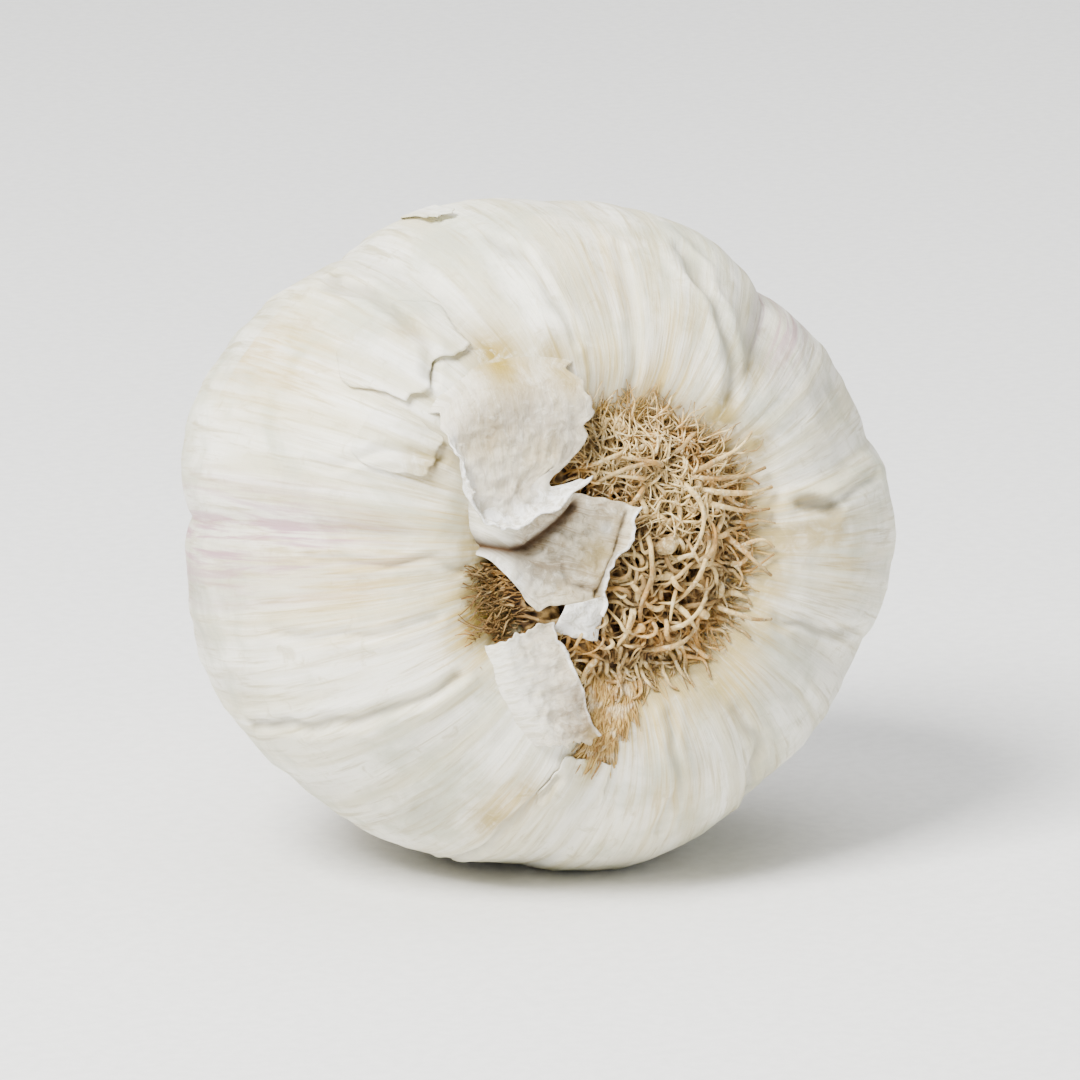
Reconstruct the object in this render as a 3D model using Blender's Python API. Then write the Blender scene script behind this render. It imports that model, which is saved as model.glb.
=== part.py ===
"""A garlic bulb lying on its side: dried roots to the front, cut stem to the back.

Each piece is modelled round the bulb's own axis, local Y, in millimetres. Local -Y is the
root end, +X is right and +Z up as the root end faces the viewer. One empty tilts that axis,
so that the root end stands a little higher than the stem, as a bulb leans on its belly.
The world origin lies on the small flat spot that carries the bulb, under its centre.
"""

import math
import random

import bmesh
import bpy
from mathutils import Vector

MM = 0.001

# The whole bulb, in millimetres and degrees
BULB_WIDTH = 60.0
BULB_HEIGHT = 55.4
AXIS_HEIGHT = 26.6
AXIS_TILT = 10.0

# The body's profile as (distance along the axis, radius), from the root plate's recess,
# over the shoulder and the widest ring, to the end of the neck's sheath
PROFILE = (
    (-15.4, 7.6),
    (-17.3, 11.0),
    (-19.0, 15.2),
    (-16.9, 21.2),
    (-9.6, 27.2),
    (0.0, 29.2),
    (9.4, 26.6),
    (17.4, 19.0),
    (22.8, 11.4),
    (27.0, 7.3),
    (33.0, 6.0),
)
PROFILE_STEPS = 3
WIDEST_RADIUS = 29.2

# The cloves press the skin into lobes: the seams between them, and how deep each one is
SEAM_ANGLES = (12.0, 47.0, 84.0, 118.0, 172.0, 228.0, 264.0, 300.0, 336.0)
SEAM_DEPTHS = (0.7, 2.1, 0.6, 1.0, 1.4, 1.0, 0.7, 0.9, 0.7)
CLOVE_SWELLS = (-1.0, -0.2, 0.0, 0.7, -0.3, -0.6, 0.5, -0.5, 0.3)
COLUMNS_PER_CLOVE = 9
LOBE_ROUNDNESS = 0.62

# The radii between which the lobes fade out, on the root end's face and on the neck
LOBES_FADE_ON_FACE = (11.5, 23.0)
LOBES_FADE_ON_NECK = (6.5, 22.0)

# The neck's sheath, open at its end round the stem: its lip is rounded over, and its torn end
# rises and falls by waves given as (waves round it, height, turn)
SHEATH_INSIDE = 4.95
SHEATH_LIP = 0.5
SHEATH_TEARS = ((2, 0.78, 0.7), (5, 0.52, 0.0))
SOCKET_FLOOR = 28.0

# The cut stem, ribbed by the edges of the leaf sheaths that it is rolled from: each rib wave
# is (waves round it, height, turn, twist per millimetre)
STEM_RADIUS = 4.1
STEM_TAPER = 0.003
STEM_RIBS = ((6, 0.17, 0.0, 0.03), (11, 0.1, 1.0, 0.0))
STEM_END = 49.0
STEM_END_BULGE = 0.25
STEM_END_BEVEL = 0.5
STEM_HOLE_RADIUS = 1.5
STEM_HOLE_TAPER = 0.8
STEM_HOLE_DEPTH = 4.0
STEM_SIDES = 24
STEM_RINGS = 9

# The neck and stem bend down and to the right from here on, by these factors of length squared
BEND_START = 18.0
BEND_DOWN = 0.0042
BEND_RIGHT = 0.0025

# The air left between two touching pieces
GAP = 0.35

# The root plate, as (distance forward of the widest ring, radius), and its matted roots
PLATE = ((15.8, 6.6), (17.2, 9.1), (18.0, 10.2), (18.6, 8.2), (18.9, 4.1))
PLATE_SIDES = 24
ROOT_STARTS = 110
ROOT_START_RADIUS = 9.0
ROOT_START_FRONT = 17.3
ROOT_SEGMENTS = 4
ROOT_SIDES = 3
ROOT_RADIUS = 0.56
ROOT_TIP_RADIUS = 0.42
ROOT_LENGTHS = (4.0, 7.5)
ROOT_ARCHES = (0.3, 2.3)
ROOT_ARCH_SPAN = 0.9
ROOT_HEADING_SPREAD = 1.2
ROOT_CURL_INNER = 2.4
ROOT_CURL_OUTER = 1.0
ROOT_MAT_BACK = 18.7
ROOT_MAT_FRONT = 22.0
ROOT_MAT_FRONT_UNDER_FLAPS = 19.6
ROOT_REACH = 14.4
ROOT_REACH_UNDER_FLAPS = 9.8
FLAP_MARGIN = 1.5
GOLDEN_ANGLE = math.radians(137.508)
ROOT_SEED = 15

# Torn skin flaps over the root plate: the edge that holds to the bulb and the free lip,
# each a curve through three points (right, up) on the root end's face, how far forward the
# flap lies and its lip lifts, and the share of it, from the held edge, with no roots under it
FLAP_THICKNESS = 0.65
FLAP_OFF_SKIN = 0.5
FLAPS = {
    "skin_flap_upper": {
        "held": ((-15.6, 12.0), (-10.0, 16.2), (-3.2, 15.6)),
        "lip": ((-13.4, 3.4), (-9.4, 1.4), (-4.4, 5.8)),
        "front": 22.0,
        "lift": 1.2,
        "bare": 0.3,
    },
    "skin_flap_middle": {
        "held": ((-12.9, 7.0), (-13.3, 4.0), (-12.7, 1.0)),
        "lip": ((1.0, 3.2), (-0.4, -2.0), (-2.2, -6.8)),
        "front": 20.95,
        "lift": 0.4,
        "bare": 0.3,
    },
    "skin_flap_lower": {
        "held": ((-12.4, -7.0), (-11.4, -11.2), (-8.4, -15.6)),
        "lip": ((-6.4, -5.4), (-4.6, -9.6), (-3.2, -14.6)),
        "front": 20.6,
        "lift": 0.3,
        "bare": 1.0,
    },
}
FLAP_HELD_SHARE = 0.28
FLAP_COLUMNS = 7
FLAP_ROWS = 9

SHARP_EDGE_ANGLE = 40.0
CUT_TOLERANCE = 1e-6

COLOURS = {
    "skin": ((0.80, 0.77, 0.70, 1.0), 0.55),
    "stem": ((0.66, 0.50, 0.30, 1.0), 0.75),
    "roots": ((0.46, 0.31, 0.15, 1.0), 0.85),
    "inner_skin": ((0.62, 0.56, 0.52, 1.0), 0.6),
}


def clear_scene():
    for obj in list(bpy.data.objects):
        bpy.data.objects.remove(obj, do_unlink=True)


def material_of(name):
    colour, roughness = COLOURS[name]
    material = bpy.data.materials.new(name)
    material.use_nodes = True
    shader = material.node_tree.nodes["Principled BSDF"]
    shader.inputs["Base Color"].default_value = colour
    shader.inputs["Roughness"].default_value = roughness
    shader.inputs["Metallic"].default_value = 0.0
    return material


def smooth_step(low, high, value):
    share = min(1.0, max(0.0, (value - low) / (high - low)))
    return share * share * (3.0 - 2.0 * share)


def curve_through(points, steps):
    """A smooth curve through the points, with this many steps between each two."""
    ends = [points[0], *points, points[-1]]
    curve = []
    for before, start, end, after in zip(ends, ends[1:], ends[2:], ends[3:]):
        for step in range(steps):
            t = step / steps
            curve.append(
                tuple(
                    0.5 * (2 * b + (c - a) * t + (2 * a - 5 * b + 4 * c - d) * t**2
                           + (3 * b - a - 3 * c + d) * t**3)
                    for a, b, c, d in zip(before, start, end, after)
                )
            )
    return curve + [tuple(points[-1])]


def bow_through(points, t):
    """The point at t on the bow that passes through three points."""
    first, middle, last = (Vector(p) for p in points)
    control = 2 * middle - (first + last) / 2
    return first * (1 - t) ** 2 + control * (2 * t * (1 - t)) + last * t**2


def axis_offset(along):
    """How far the neck's and stem's middle has bent away from the straight axis."""
    past = max(0.0, along - BEND_START) ** 2
    return Vector((BEND_RIGHT * past, 0.0, -BEND_DOWN * past))


def clove_at(angle):
    """(clove, share of the way across it) at this angle round the axis, in degrees."""
    for clove, start in enumerate(SEAM_ANGLES):
        end = SEAM_ANGLES[(clove + 1) % len(SEAM_ANGLES)]
        width = (end - start) % 360.0
        past = (angle - start) % 360.0
        if past < width:
            return clove, past / width
    return 0, 0.0


def lobe_height(angle):
    """How far the skin stands out over the round profile at this angle, where lobes are full."""
    clove, share = clove_at(angle)
    next_clove = (clove + 1) % len(SEAM_ANGLES)
    depth = SEAM_DEPTHS[clove] * (1 - share) + SEAM_DEPTHS[next_clove] * share
    crest = math.sin(math.pi * share) ** LOBE_ROUNDNESS
    return CLOVE_SWELLS[clove] * crest - depth * (1 - crest)


def lobe_share(on_face, radius):
    """How much of the lobes shows: none on the root plate and the neck, all on the belly."""
    none_at, all_at = LOBES_FADE_ON_FACE if on_face else LOBES_FADE_ON_NECK
    return smooth_step(none_at, all_at, radius)


def skin_point(along, radius, normal, angle):
    """A point on the skin: the round profile, swollen by the cloves and pressed to an oval."""
    turn = math.radians(angle)
    lift = lobe_height(angle) * lobe_share(along < 0, radius)
    along += normal[0] * lift
    radius += normal[1] * lift
    oval = radius / WIDEST_RADIUS
    across = 1.0 + (BULB_WIDTH / 2 / WIDEST_RADIUS - 1.0) * oval
    upright = 1.0 + (BULB_HEIGHT / 2 / WIDEST_RADIUS - 1.0) * oval
    place = Vector((radius * across * math.cos(turn), along, radius * upright * math.sin(turn)))
    return place + axis_offset(along)


def profile_normals(profile):
    """The outward normal at each point of the profile, in its own plane."""
    normals = []
    for index in range(len(profile)):
        before = profile[max(0, index - 1)]
        after = profile[min(len(profile) - 1, index + 1)]
        run = Vector((after[0] - before[0], after[1] - before[1])).normalized()
        normals.append((-run.y, run.x))
    return normals


def root_end_front(right, up):
    """How far forward of the widest ring the root end's skin lies at a point of its face."""
    radius = math.hypot(right, up)
    angle = math.degrees(math.atan2(up, right))
    swell = lobe_height(angle) * lobe_share(True, radius)
    root_side = [p for p in curve_through(PROFILE, PROFILE_STEPS) if p[0] < 0]
    for inner, outer in zip(root_side, root_side[1:]):
        if radius <= outer[1]:
            share = max(0.0, (radius - inner[1]) / (outer[1] - inner[1]))
            return swell - (inner[0] * (1 - share) + outer[0] * share)
    return 0.0


def mesh_object(name, mesh, material, parent):
    bmesh.ops.recalc_face_normals(mesh, faces=mesh.faces)
    bmesh.ops.scale(mesh, vec=(MM, MM, MM), verts=mesh.verts)
    data = bpy.data.meshes.new(name)
    mesh.to_mesh(data)
    mesh.free()
    obj = bpy.data.objects.new(name, data)
    bpy.context.scene.collection.objects.link(obj)
    obj.data.materials.append(material)
    obj.parent = parent
    obj.data.shade_smooth()
    obj.data.set_sharp_from_angle(angle=math.radians(SHARP_EDGE_ANGLE))
    return obj


def join_rings(mesh, rings):
    """Skins a closed tube over rings of points, each with the same number of points."""
    loops = [[mesh.verts.new(point) for point in ring] for ring in rings]
    for one, other in zip(loops, loops[1:]):
        for index in range(len(one)):
            following = (index + 1) % len(one)
            mesh.faces.new((one[index], one[following], other[following], other[index]))
    for loop in (loops[0], loops[-1]):
        centre = mesh.verts.new(sum((v.co for v in loop), Vector()) / len(loop))
        for index in range(len(loop)):
            mesh.faces.new((loop[index], loop[(index + 1) % len(loop)], centre))


def column_angles():
    """Angles round the axis, evenly across each clove, so that each seam has a column."""
    angles = []
    for clove, start in enumerate(SEAM_ANGLES):
        width = (SEAM_ANGLES[(clove + 1) % len(SEAM_ANGLES)] - start) % 360.0
        angles += [start + width * step / COLUMNS_PER_CLOVE for step in range(COLUMNS_PER_CLOVE)]
    return angles


def ragged_end(angle):
    """How far the sheath's torn end stands past its mean length."""
    turn = math.radians(angle)
    return sum(height * math.sin(waves * turn + start) for waves, height, start in SHEATH_TEARS)


def build_bulb(material, parent):
    """The wrapped cloves with the neck's sheath, cut flat where the bulb rests."""
    profile = curve_through(PROFILE, PROFILE_STEPS)
    normals = profile_normals(profile)
    angles = column_angles()
    rings = [
        [skin_point(along, radius, normal, angle) for angle in angles]
        for (along, radius), normal in zip(profile, normals)
    ]
    sheath_end = PROFILE[-1][0]
    sheath_radius = PROFILE[-1][1]
    edge_radius = (sheath_radius + SHEATH_INSIDE) / 2
    inner_stations = ((sheath_end + SHEATH_LIP, edge_radius, 1.0),
                      (sheath_end, SHEATH_INSIDE, 1.0), (SOCKET_FLOOR, SHEATH_INSIDE, 0.0))
    rings[-1] = [skin_point(sheath_end + ragged_end(a), sheath_radius, (0, 0), a) for a in angles]
    for along, radius, ragged in inner_stations:
        rings.append(
            [skin_point(along + ragged * ragged_end(a), radius, (0, 0), a) for a in angles]
        )
    mesh = bmesh.new()
    join_rings(mesh, rings)
    to_local = parent.matrix_world.inverted()
    flat_centre = to_local @ Vector((0, 0, 0)) / MM
    flat_normal = to_local.to_3x3() @ Vector((0, 0, 1))
    cut = bmesh.ops.bisect_plane(
        mesh, geom=mesh.verts[:] + mesh.edges[:] + mesh.faces[:], dist=CUT_TOLERANCE,
        plane_co=flat_centre, plane_no=flat_normal, clear_inner=True,
    )
    rim = [e for e in cut["geom_cut"] if isinstance(e, bmesh.types.BMEdge)]
    bmesh.ops.contextual_create(mesh, geom=rim)
    return mesh_object("bulb", mesh, material, parent)


def stem_radius_at(angle, along):
    turn = math.radians(angle)
    ribs = sum(
        height * math.cos(waves * turn + start + twist * along)
        for waves, height, start, twist in STEM_RIBS
    )
    return STEM_RADIUS * (1.0 - STEM_TAPER * (along - SOCKET_FLOOR)) + ribs


def build_stem(material, parent):
    """The dried stem, cut square, with the small hollow that its middle dries to."""
    start = SOCKET_FLOOR + GAP
    angles = [360.0 * side / STEM_SIDES for side in range(STEM_SIDES)]

    def ring(along, radius_of):
        return [
            Vector((radius_of(a) * math.cos(math.radians(a)), along,
                    radius_of(a) * math.sin(math.radians(a)))) + axis_offset(along)
            for a in angles
        ]

    rings = []
    for step in range(STEM_RINGS):
        along = start + (STEM_END - start) * step / (STEM_RINGS - 1)
        rings.append(ring(along, lambda a, along=along: stem_radius_at(a, along)))
    rings.append(
        ring(STEM_END + STEM_END_BULGE, lambda a: stem_radius_at(a, STEM_END) - STEM_END_BEVEL)
    )
    rings.append(ring(STEM_END, lambda a: STEM_HOLE_RADIUS))
    hole_floor = STEM_END - STEM_HOLE_DEPTH
    rings.append(ring(hole_floor, lambda a: STEM_HOLE_RADIUS * STEM_HOLE_TAPER))
    mesh = bmesh.new()
    join_rings(mesh, rings)
    return mesh_object("stem", mesh, material, parent)


def flap_middle_point(flap, across, out):
    """A point midway through a flap's thickness: across along its lip, out from its held edge."""
    spot = bow_through(flap["held"], across).lerp(bow_through(flap["lip"], across), out)
    skin = root_end_front(spot.x, spot.y) + FLAP_OFF_SKIN + FLAP_THICKNESS / 2
    over_roots = flap["front"] + flap["lift"] * out**3
    blend = smooth_step(0.0, FLAP_HELD_SHARE, out)
    front = max(skin, skin * (1 - blend) + over_roots * blend)
    return Vector((spot.x, -front, spot.y))


def flap_grid(flap):
    return [
        [
            flap_middle_point(flap, column / (FLAP_COLUMNS - 1), row / (FLAP_ROWS - 1))
            for column in range(FLAP_COLUMNS)
        ]
        for row in range(FLAP_ROWS)
    ]


def build_flap(name, flap, material, parent):
    """One torn flap: a curved sheet given its thickness on both sides."""
    grid = flap_grid(flap)
    mesh = bmesh.new()
    verts = [[mesh.verts.new(point) for point in row] for row in grid]
    for one, other in zip(verts, verts[1:]):
        for index in range(FLAP_COLUMNS - 1):
            mesh.faces.new((one[index], one[index + 1], other[index + 1], other[index]))
    sheet = mesh_object(name, mesh, material, parent)
    solidify = sheet.modifiers.new("thickness", "SOLIDIFY")
    solidify.thickness = FLAP_THICKNESS * MM
    solidify.offset = 0.0
    return sheet


def near(right, up, points):
    return any(math.hypot(right - p.x, up - p.z) < FLAP_MARGIN for p in points)


def tube(points, radii, sides):
    """A closed thin tube along the points, as a mesh of its own.

    Its sides are set out from a direction that no root runs along.
    """
    mesh = bmesh.new()
    rings = []
    reference = Vector((0.31, 0.22, 0.92))
    for index, point in enumerate(points):
        before = points[max(0, index - 1)]
        after = points[min(len(points) - 1, index + 1)]
        run = (after - before).normalized()
        side = run.cross(reference).normalized()
        other = run.cross(side)
        rings.append([
            point + radii[index] * (math.cos(turn) * side + math.sin(turn) * other)
            for turn in (2 * math.pi * k / sides for k in range(sides))
        ])
    join_rings(mesh, rings)
    return mesh


def root_start(index):
    """Where a root leaves the plate, as (right, up): the starts spread evenly over it."""
    radius = ROOT_START_RADIUS * math.sqrt((index + 0.5) / ROOT_STARTS)
    turn = index * GOLDEN_ANGLE
    return radius * math.cos(turn), radius * math.sin(turn)


def root_path(rng, right, up, flap_points, bare_points):
    """One root: it starts in the plate, arches forward, curls and lies down near the skin."""
    outward = math.hypot(right, up) / ROOT_START_RADIUS
    curl_most = ROOT_CURL_INNER + (ROOT_CURL_OUTER - ROOT_CURL_INNER) * outward
    heading = math.atan2(up, right) + rng.uniform(-ROOT_HEADING_SPREAD, ROOT_HEADING_SPREAD)
    length = rng.uniform(*ROOT_LENGTHS)
    curl = rng.uniform(-curl_most, curl_most)
    arch = rng.uniform(*ROOT_ARCHES)
    points = [Vector((right, -ROOT_START_FRONT, up))]
    for segment in range(1, ROOT_SEGMENTS + 1):
        share_out = segment / ROOT_SEGMENTS
        turn = heading + curl * share_out
        new_right = right + length / ROOT_SEGMENTS * math.cos(turn)
        new_up = up + length / ROOT_SEGMENTS * math.sin(turn)
        reach = ROOT_REACH_UNDER_FLAPS if near(new_right, new_up, bare_points) else ROOT_REACH
        inwards = min(1.0, reach / math.hypot(new_right, new_up))
        right, up = new_right * inwards, new_up * inwards
        lowest = max(root_end_front(right, up) + 2 * GAP + ROOT_RADIUS, ROOT_MAT_BACK)
        under = near(right, up, flap_points)
        highest = ROOT_MAT_FRONT_UNDER_FLAPS if under else ROOT_MAT_FRONT
        front = lowest + arch * math.sin(math.pi * ROOT_ARCH_SPAN * share_out)
        points.append(Vector((right, -max(lowest, min(front, highest)), up)))
    return points


def keep_outer_shell(obj):
    """Fills the small hollows that the joined roots close off, and drops any loose scrap."""
    mesh = bmesh.new()
    mesh.from_mesh(obj.data)
    waiting = set(mesh.faces)
    shells = []
    while waiting:
        shell = {waiting.pop()}
        rim = list(shell)
        while rim:
            found = {other for f in rim for e in f.edges for other in e.link_faces} & waiting
            waiting -= found
            shell |= found
            rim = list(found)
        shells.append(shell)
    largest = max(shells, key=len)
    spare = [f for f in mesh.faces if f not in largest]
    bmesh.ops.delete(mesh, geom=spare, context="FACES")
    mesh.to_mesh(obj.data)
    mesh.free()


def build_roots(material, parent):
    """The root plate with its matted roots, joined into one body."""
    flap_points, bare_points, covered_points = [], [], []
    for flap in FLAPS.values():
        grid = flap_grid(flap)
        flap_points += [point for row in grid for point in row]
        bare_rows = grid[: math.ceil(FLAP_ROWS * flap["bare"])]
        bare_points += [point for row in bare_rows for point in row]
        covered_points += [point for row in grid[1:-1] for point in row[1:-1]]
    mesh = bmesh.new()
    join_rings(mesh, [
        [Vector((radius * math.cos(turn), -front, radius * math.sin(turn)))
         for turn in (2 * math.pi * k / PLATE_SIDES for k in range(PLATE_SIDES))]
        for front, radius in PLATE
    ])
    plate = mesh_object("roots", mesh, material, parent)
    rng = random.Random(ROOT_SEED)
    strands = bpy.data.collections.new("root_strands")
    bpy.context.scene.collection.children.link(strands)
    for index in range(ROOT_STARTS):
        right, up = root_start(index)
        if near(right, up, covered_points):
            continue
        points = root_path(rng, right, up, flap_points, bare_points)
        radii = [
            ROOT_RADIUS + (ROOT_TIP_RADIUS - ROOT_RADIUS) * k / ROOT_SEGMENTS
            for k in range(ROOT_SEGMENTS + 1)
        ]
        strand = mesh_object(f"strand_{index}", tube(points, radii, ROOT_SIDES), material, parent)
        bpy.context.scene.collection.objects.unlink(strand)
        strands.objects.link(strand)
    union = plate.modifiers.new("join_roots", "BOOLEAN")
    union.operation = "UNION"
    union.operand_type = "COLLECTION"
    union.collection = strands
    union.solver = "MANIFOLD"
    bpy.context.view_layer.update()
    with bpy.context.temp_override(object=plate, active_object=plate):
        bpy.ops.object.modifier_apply(modifier=union.name)
    for strand in list(strands.objects):
        bpy.data.objects.remove(strand, do_unlink=True)
    bpy.data.collections.remove(strands)
    keep_outer_shell(plate)
    return plate


def main():
    clear_scene()
    axis = bpy.data.objects.new("bulb_axis", None)
    bpy.context.scene.collection.objects.link(axis)
    axis.location = (0.0, 0.0, AXIS_HEIGHT * MM)
    axis.rotation_euler = (math.radians(-AXIS_TILT), 0.0, 0.0)
    bpy.context.view_layer.update()
    materials = {name: material_of(name) for name in COLOURS}
    build_bulb(materials["skin"], axis)
    build_stem(materials["stem"], axis)
    for name, flap in FLAPS.items():
        build_flap(name, flap, materials["inner_skin"], axis)
    build_roots(materials["roots"], axis)


main()
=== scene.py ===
# %% [markdown]
# # A garlic bulb on its side
#
# This lesson dresses the solids of one dried garlic bulb: papery skin over its cloves, a mat of
# dried roots at one end, torn skin flaps across the mat, and a cut stem at the other end.
# Each cell makes one piece or one finish, and says why it is made that way.
#
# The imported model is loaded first. Every piece made here stays in its frame, in metres.

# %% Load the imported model
import math
import random

import bpy
import numpy as np
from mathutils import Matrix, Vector, noise


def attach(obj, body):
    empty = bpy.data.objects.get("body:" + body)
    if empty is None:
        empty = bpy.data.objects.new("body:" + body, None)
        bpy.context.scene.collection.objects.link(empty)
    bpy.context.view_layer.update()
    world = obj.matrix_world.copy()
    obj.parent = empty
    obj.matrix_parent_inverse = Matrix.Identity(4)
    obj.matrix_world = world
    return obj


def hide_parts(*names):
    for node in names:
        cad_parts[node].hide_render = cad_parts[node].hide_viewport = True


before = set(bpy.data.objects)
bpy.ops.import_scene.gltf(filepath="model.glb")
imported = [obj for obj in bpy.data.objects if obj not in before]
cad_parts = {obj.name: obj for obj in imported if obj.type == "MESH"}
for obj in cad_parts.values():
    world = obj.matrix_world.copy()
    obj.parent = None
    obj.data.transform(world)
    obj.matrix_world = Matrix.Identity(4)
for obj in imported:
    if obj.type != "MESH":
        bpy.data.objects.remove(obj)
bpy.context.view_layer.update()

# %% [markdown]
# ## The bulb's own axis
#
# A bulb grows round an axis, so every shape below is worked out round that axis in millimetres:
# X to the right and Z up as the root end faces the viewer, and Y from the roots to the stem.
# One function then tilts the shape, because a bulb on its belly leans its root end up a little.

# %% From the bulb's axis to the scene
MM = 0.001
AXIS_HEIGHT = 26.6
AXIS_TILT = math.radians(10.0)
TILT_COS, TILT_SIN = math.cos(AXIS_TILT), math.sin(AXIS_TILT)


def to_scene(points):
    """Points round the bulb's axis, in millimetres, as scene coordinates in metres."""
    x, y, z = np.asarray(points, float).T
    return np.column_stack((x, y * TILT_COS + z * TILT_SIN,
                            AXIS_HEIGHT - y * TILT_SIN + z * TILT_COS)) * MM


def from_scene(places):
    """The way back: scene coordinates in metres as points round the axis, in millimetres."""
    x, y, z = (np.asarray(places, float) / MM).T
    z = z - AXIS_HEIGHT
    return np.column_stack((x, y * TILT_COS - z * TILT_SIN, y * TILT_SIN + z * TILT_COS))


print("the axis at the widest ring is at", to_scene([(0, 0, 0)])[0].round(4), "m")

# %% [markdown]
# ## The form of the bulb
#
# The cloves press the skin into lobes with seams between them. A profile gives the round form
# from root plate to neck, and the seams' angles and depths give the lobes. These are the same
# named values as in the solids, so the finer skin made here lies on them.

# %% Profile, seams and lobes
PROFILE = ((-15.4, 7.6), (-17.3, 11.0), (-19.0, 15.2), (-16.9, 21.2), (-9.6, 27.2), (0.0, 29.2),
           (9.4, 26.6), (17.4, 19.0), (22.8, 11.4), (27.0, 7.3), (33.0, 6.0))
WIDEST_RADIUS = 29.2
BULB_WIDTH, BULB_HEIGHT = 60.0, 55.4
SEAM_ANGLES = (12.0, 47.0, 84.0, 118.0, 172.0, 228.0, 264.0, 300.0, 336.0)
SEAM_DEPTHS = (0.7, 2.1, 0.6, 1.0, 1.4, 1.0, 0.7, 0.9, 0.7)
CLOVE_SWELLS = (-1.0, -0.2, 0.0, 0.7, -0.3, -0.6, 0.5, -0.5, 0.3)
LOBE_ROUNDNESS = 0.62
LOBES_FADE_ON_FACE = (11.5, 23.0)
LOBES_FADE_ON_NECK = (6.5, 22.0)
BEND_START, BEND_DOWN, BEND_RIGHT = 18.0, 0.0042, 0.0025


def smooth_step(low, high, value):
    share = np.clip((np.asarray(value, float) - low) / (high - low), 0.0, 1.0)
    return share * share * (3.0 - 2.0 * share)


def curve_through(points, steps):
    """A smooth curve through the points, with this many steps between each two."""
    points = np.asarray(points, float)
    ends = np.vstack((points[:1], points, points[-1:]))
    t = np.arange(steps)[:, None] / steps
    spans = [
        0.5 * (2 * b + (c - a) * t + (2 * a - 5 * b + 4 * c - d) * t**2
               + (3 * b - a - 3 * c + d) * t**3)
        for a, b, c, d in zip(ends, ends[1:], ends[2:], ends[3:])
    ]
    return np.vstack(spans + [points[-1:]])


def axis_offset(along):
    """How far the neck and stem have bent away from the straight axis, as (right, up)."""
    past = np.maximum(0.0, along - BEND_START) ** 2
    return BEND_RIGHT * past, -BEND_DOWN * past


def lobe_height(angle):
    """How far the skin stands out over the round form at an angle in degrees."""
    seams = np.array(SEAM_ANGLES)
    depths = np.array(SEAM_DEPTHS)
    turned = (np.asarray(angle, float) - seams[0]) % 360.0
    starts = (seams - seams[0]) % 360.0
    clove = np.searchsorted(starts, turned, side="right") - 1
    following = (clove + 1) % len(seams)
    width = (seams[following] - seams[clove]) % 360.0
    share = np.clip((turned - starts[clove]) / width, 0.0, 1.0)
    depth = depths[clove] * (1 - share) + depths[following] * share
    crest = np.sin(math.pi * share).clip(0.0) ** LOBE_ROUNDNESS
    return np.array(CLOVE_SWELLS)[clove] * crest - depth * (1 - crest)


def lobe_share(on_face, radius):
    """How much of the lobes shows: none on the root plate and the neck, all on the belly."""
    return np.where(on_face, smooth_step(*LOBES_FADE_ON_FACE, radius),
                    smooth_step(*LOBES_FADE_ON_NECK, radius))


FACE_CURVE = curve_through(PROFILE[:6], 12)


def skin_front(right, up):
    """How far forward of the widest ring the root end's skin lies at a point of its face."""
    radius = np.hypot(right, up)
    angle = np.degrees(np.arctan2(up, right))
    swell = lobe_height(angle) * lobe_share(True, radius)
    return swell - np.interp(radius, FACE_CURVE[:, 1], FACE_CURVE[:, 0])


print("the skin's front at the plate's rim:", round(float(skin_front(11.0, 0.0)), 2), "mm")

# %% [markdown]
# ## Noise that follows the bulb
#
# Skin is never even. These helpers read Blender's noise at many points at once, so that the
# same crumple, wander or torn edge can be asked for in millimetres.

# %% Noise helpers


def noise_at(points, size, seed=0.0):
    """Smooth noise between about -1 and 1 at each point, with features of this size."""
    shift = Vector((seed * 17.3, seed * 5.1, seed * 9.7))
    return np.array([noise.noise(Vector(p) / size + shift) for p in points])


def noise_along(values, size, seed=0.0):
    """The same along one line."""
    return noise_at([(v, 0.37 * seed, 0.0) for v in np.ravel(values)], size, seed)


def distance_to_line(points, line):
    """Distance in the face's plane from each point (right, up) to a line through points."""
    points = np.asarray(points, float)
    nearest = np.full(len(points), 1e9)
    for start, end in zip(np.asarray(line, float), np.asarray(line, float)[1:]):
        run = end - start
        share = np.clip(((points - start) @ run) / (run @ run), 0.0, 1.0)
        gap = points - start - share[:, None] * run
        nearest = np.minimum(nearest, np.hypot(gap[:, 0], gap[:, 1]))
    return nearest


print("noise 0, 1 and 2 mm along a line:", noise_along([0.0, 1.0, 2.0], 3.0, 1).round(2))

# %% [markdown]
# ## The papery skin
#
# A UV sphere already has what the skin needs: meridians, like the skin's veins, that run
# together at both ends. It is added by its operator, and each of its points then slides to its
# own place on the bulb's form. Lobes, veins, crumples and listed creases are added along
# the way, because sculpting by formula keeps them where the real bulb has them and gives the
# same skin on each run. Where the belly meets the floor, the skin is pressed flat.

# %% Helpers for meshes


def deselect_all():
    if bpy.context.mode != "OBJECT":
        bpy.ops.object.mode_set(mode="OBJECT")
    bpy.ops.object.select_all(action="DESELECT")


def points_of(obj):
    """The object's points, as an array of rows."""
    found = np.empty(len(obj.data.vertices) * 3)
    obj.data.vertices.foreach_get("co", found)
    return found.reshape(-1, 3)


def place_points(obj, points):
    obj.data.vertices.foreach_set("co", np.ascontiguousarray(points, np.float32).ravel())
    obj.data.update()


def give_attribute(obj, name, kind, values):
    """Stores a value at each point, for the materials to read."""
    field = {"FLOAT": "value", "FLOAT_VECTOR": "vector", "FLOAT_COLOR": "color"}[kind]
    made = obj.data.attributes.new(name, kind, "POINT")
    made.data.foreach_set(field, np.ascontiguousarray(values, np.float32).ravel())


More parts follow.
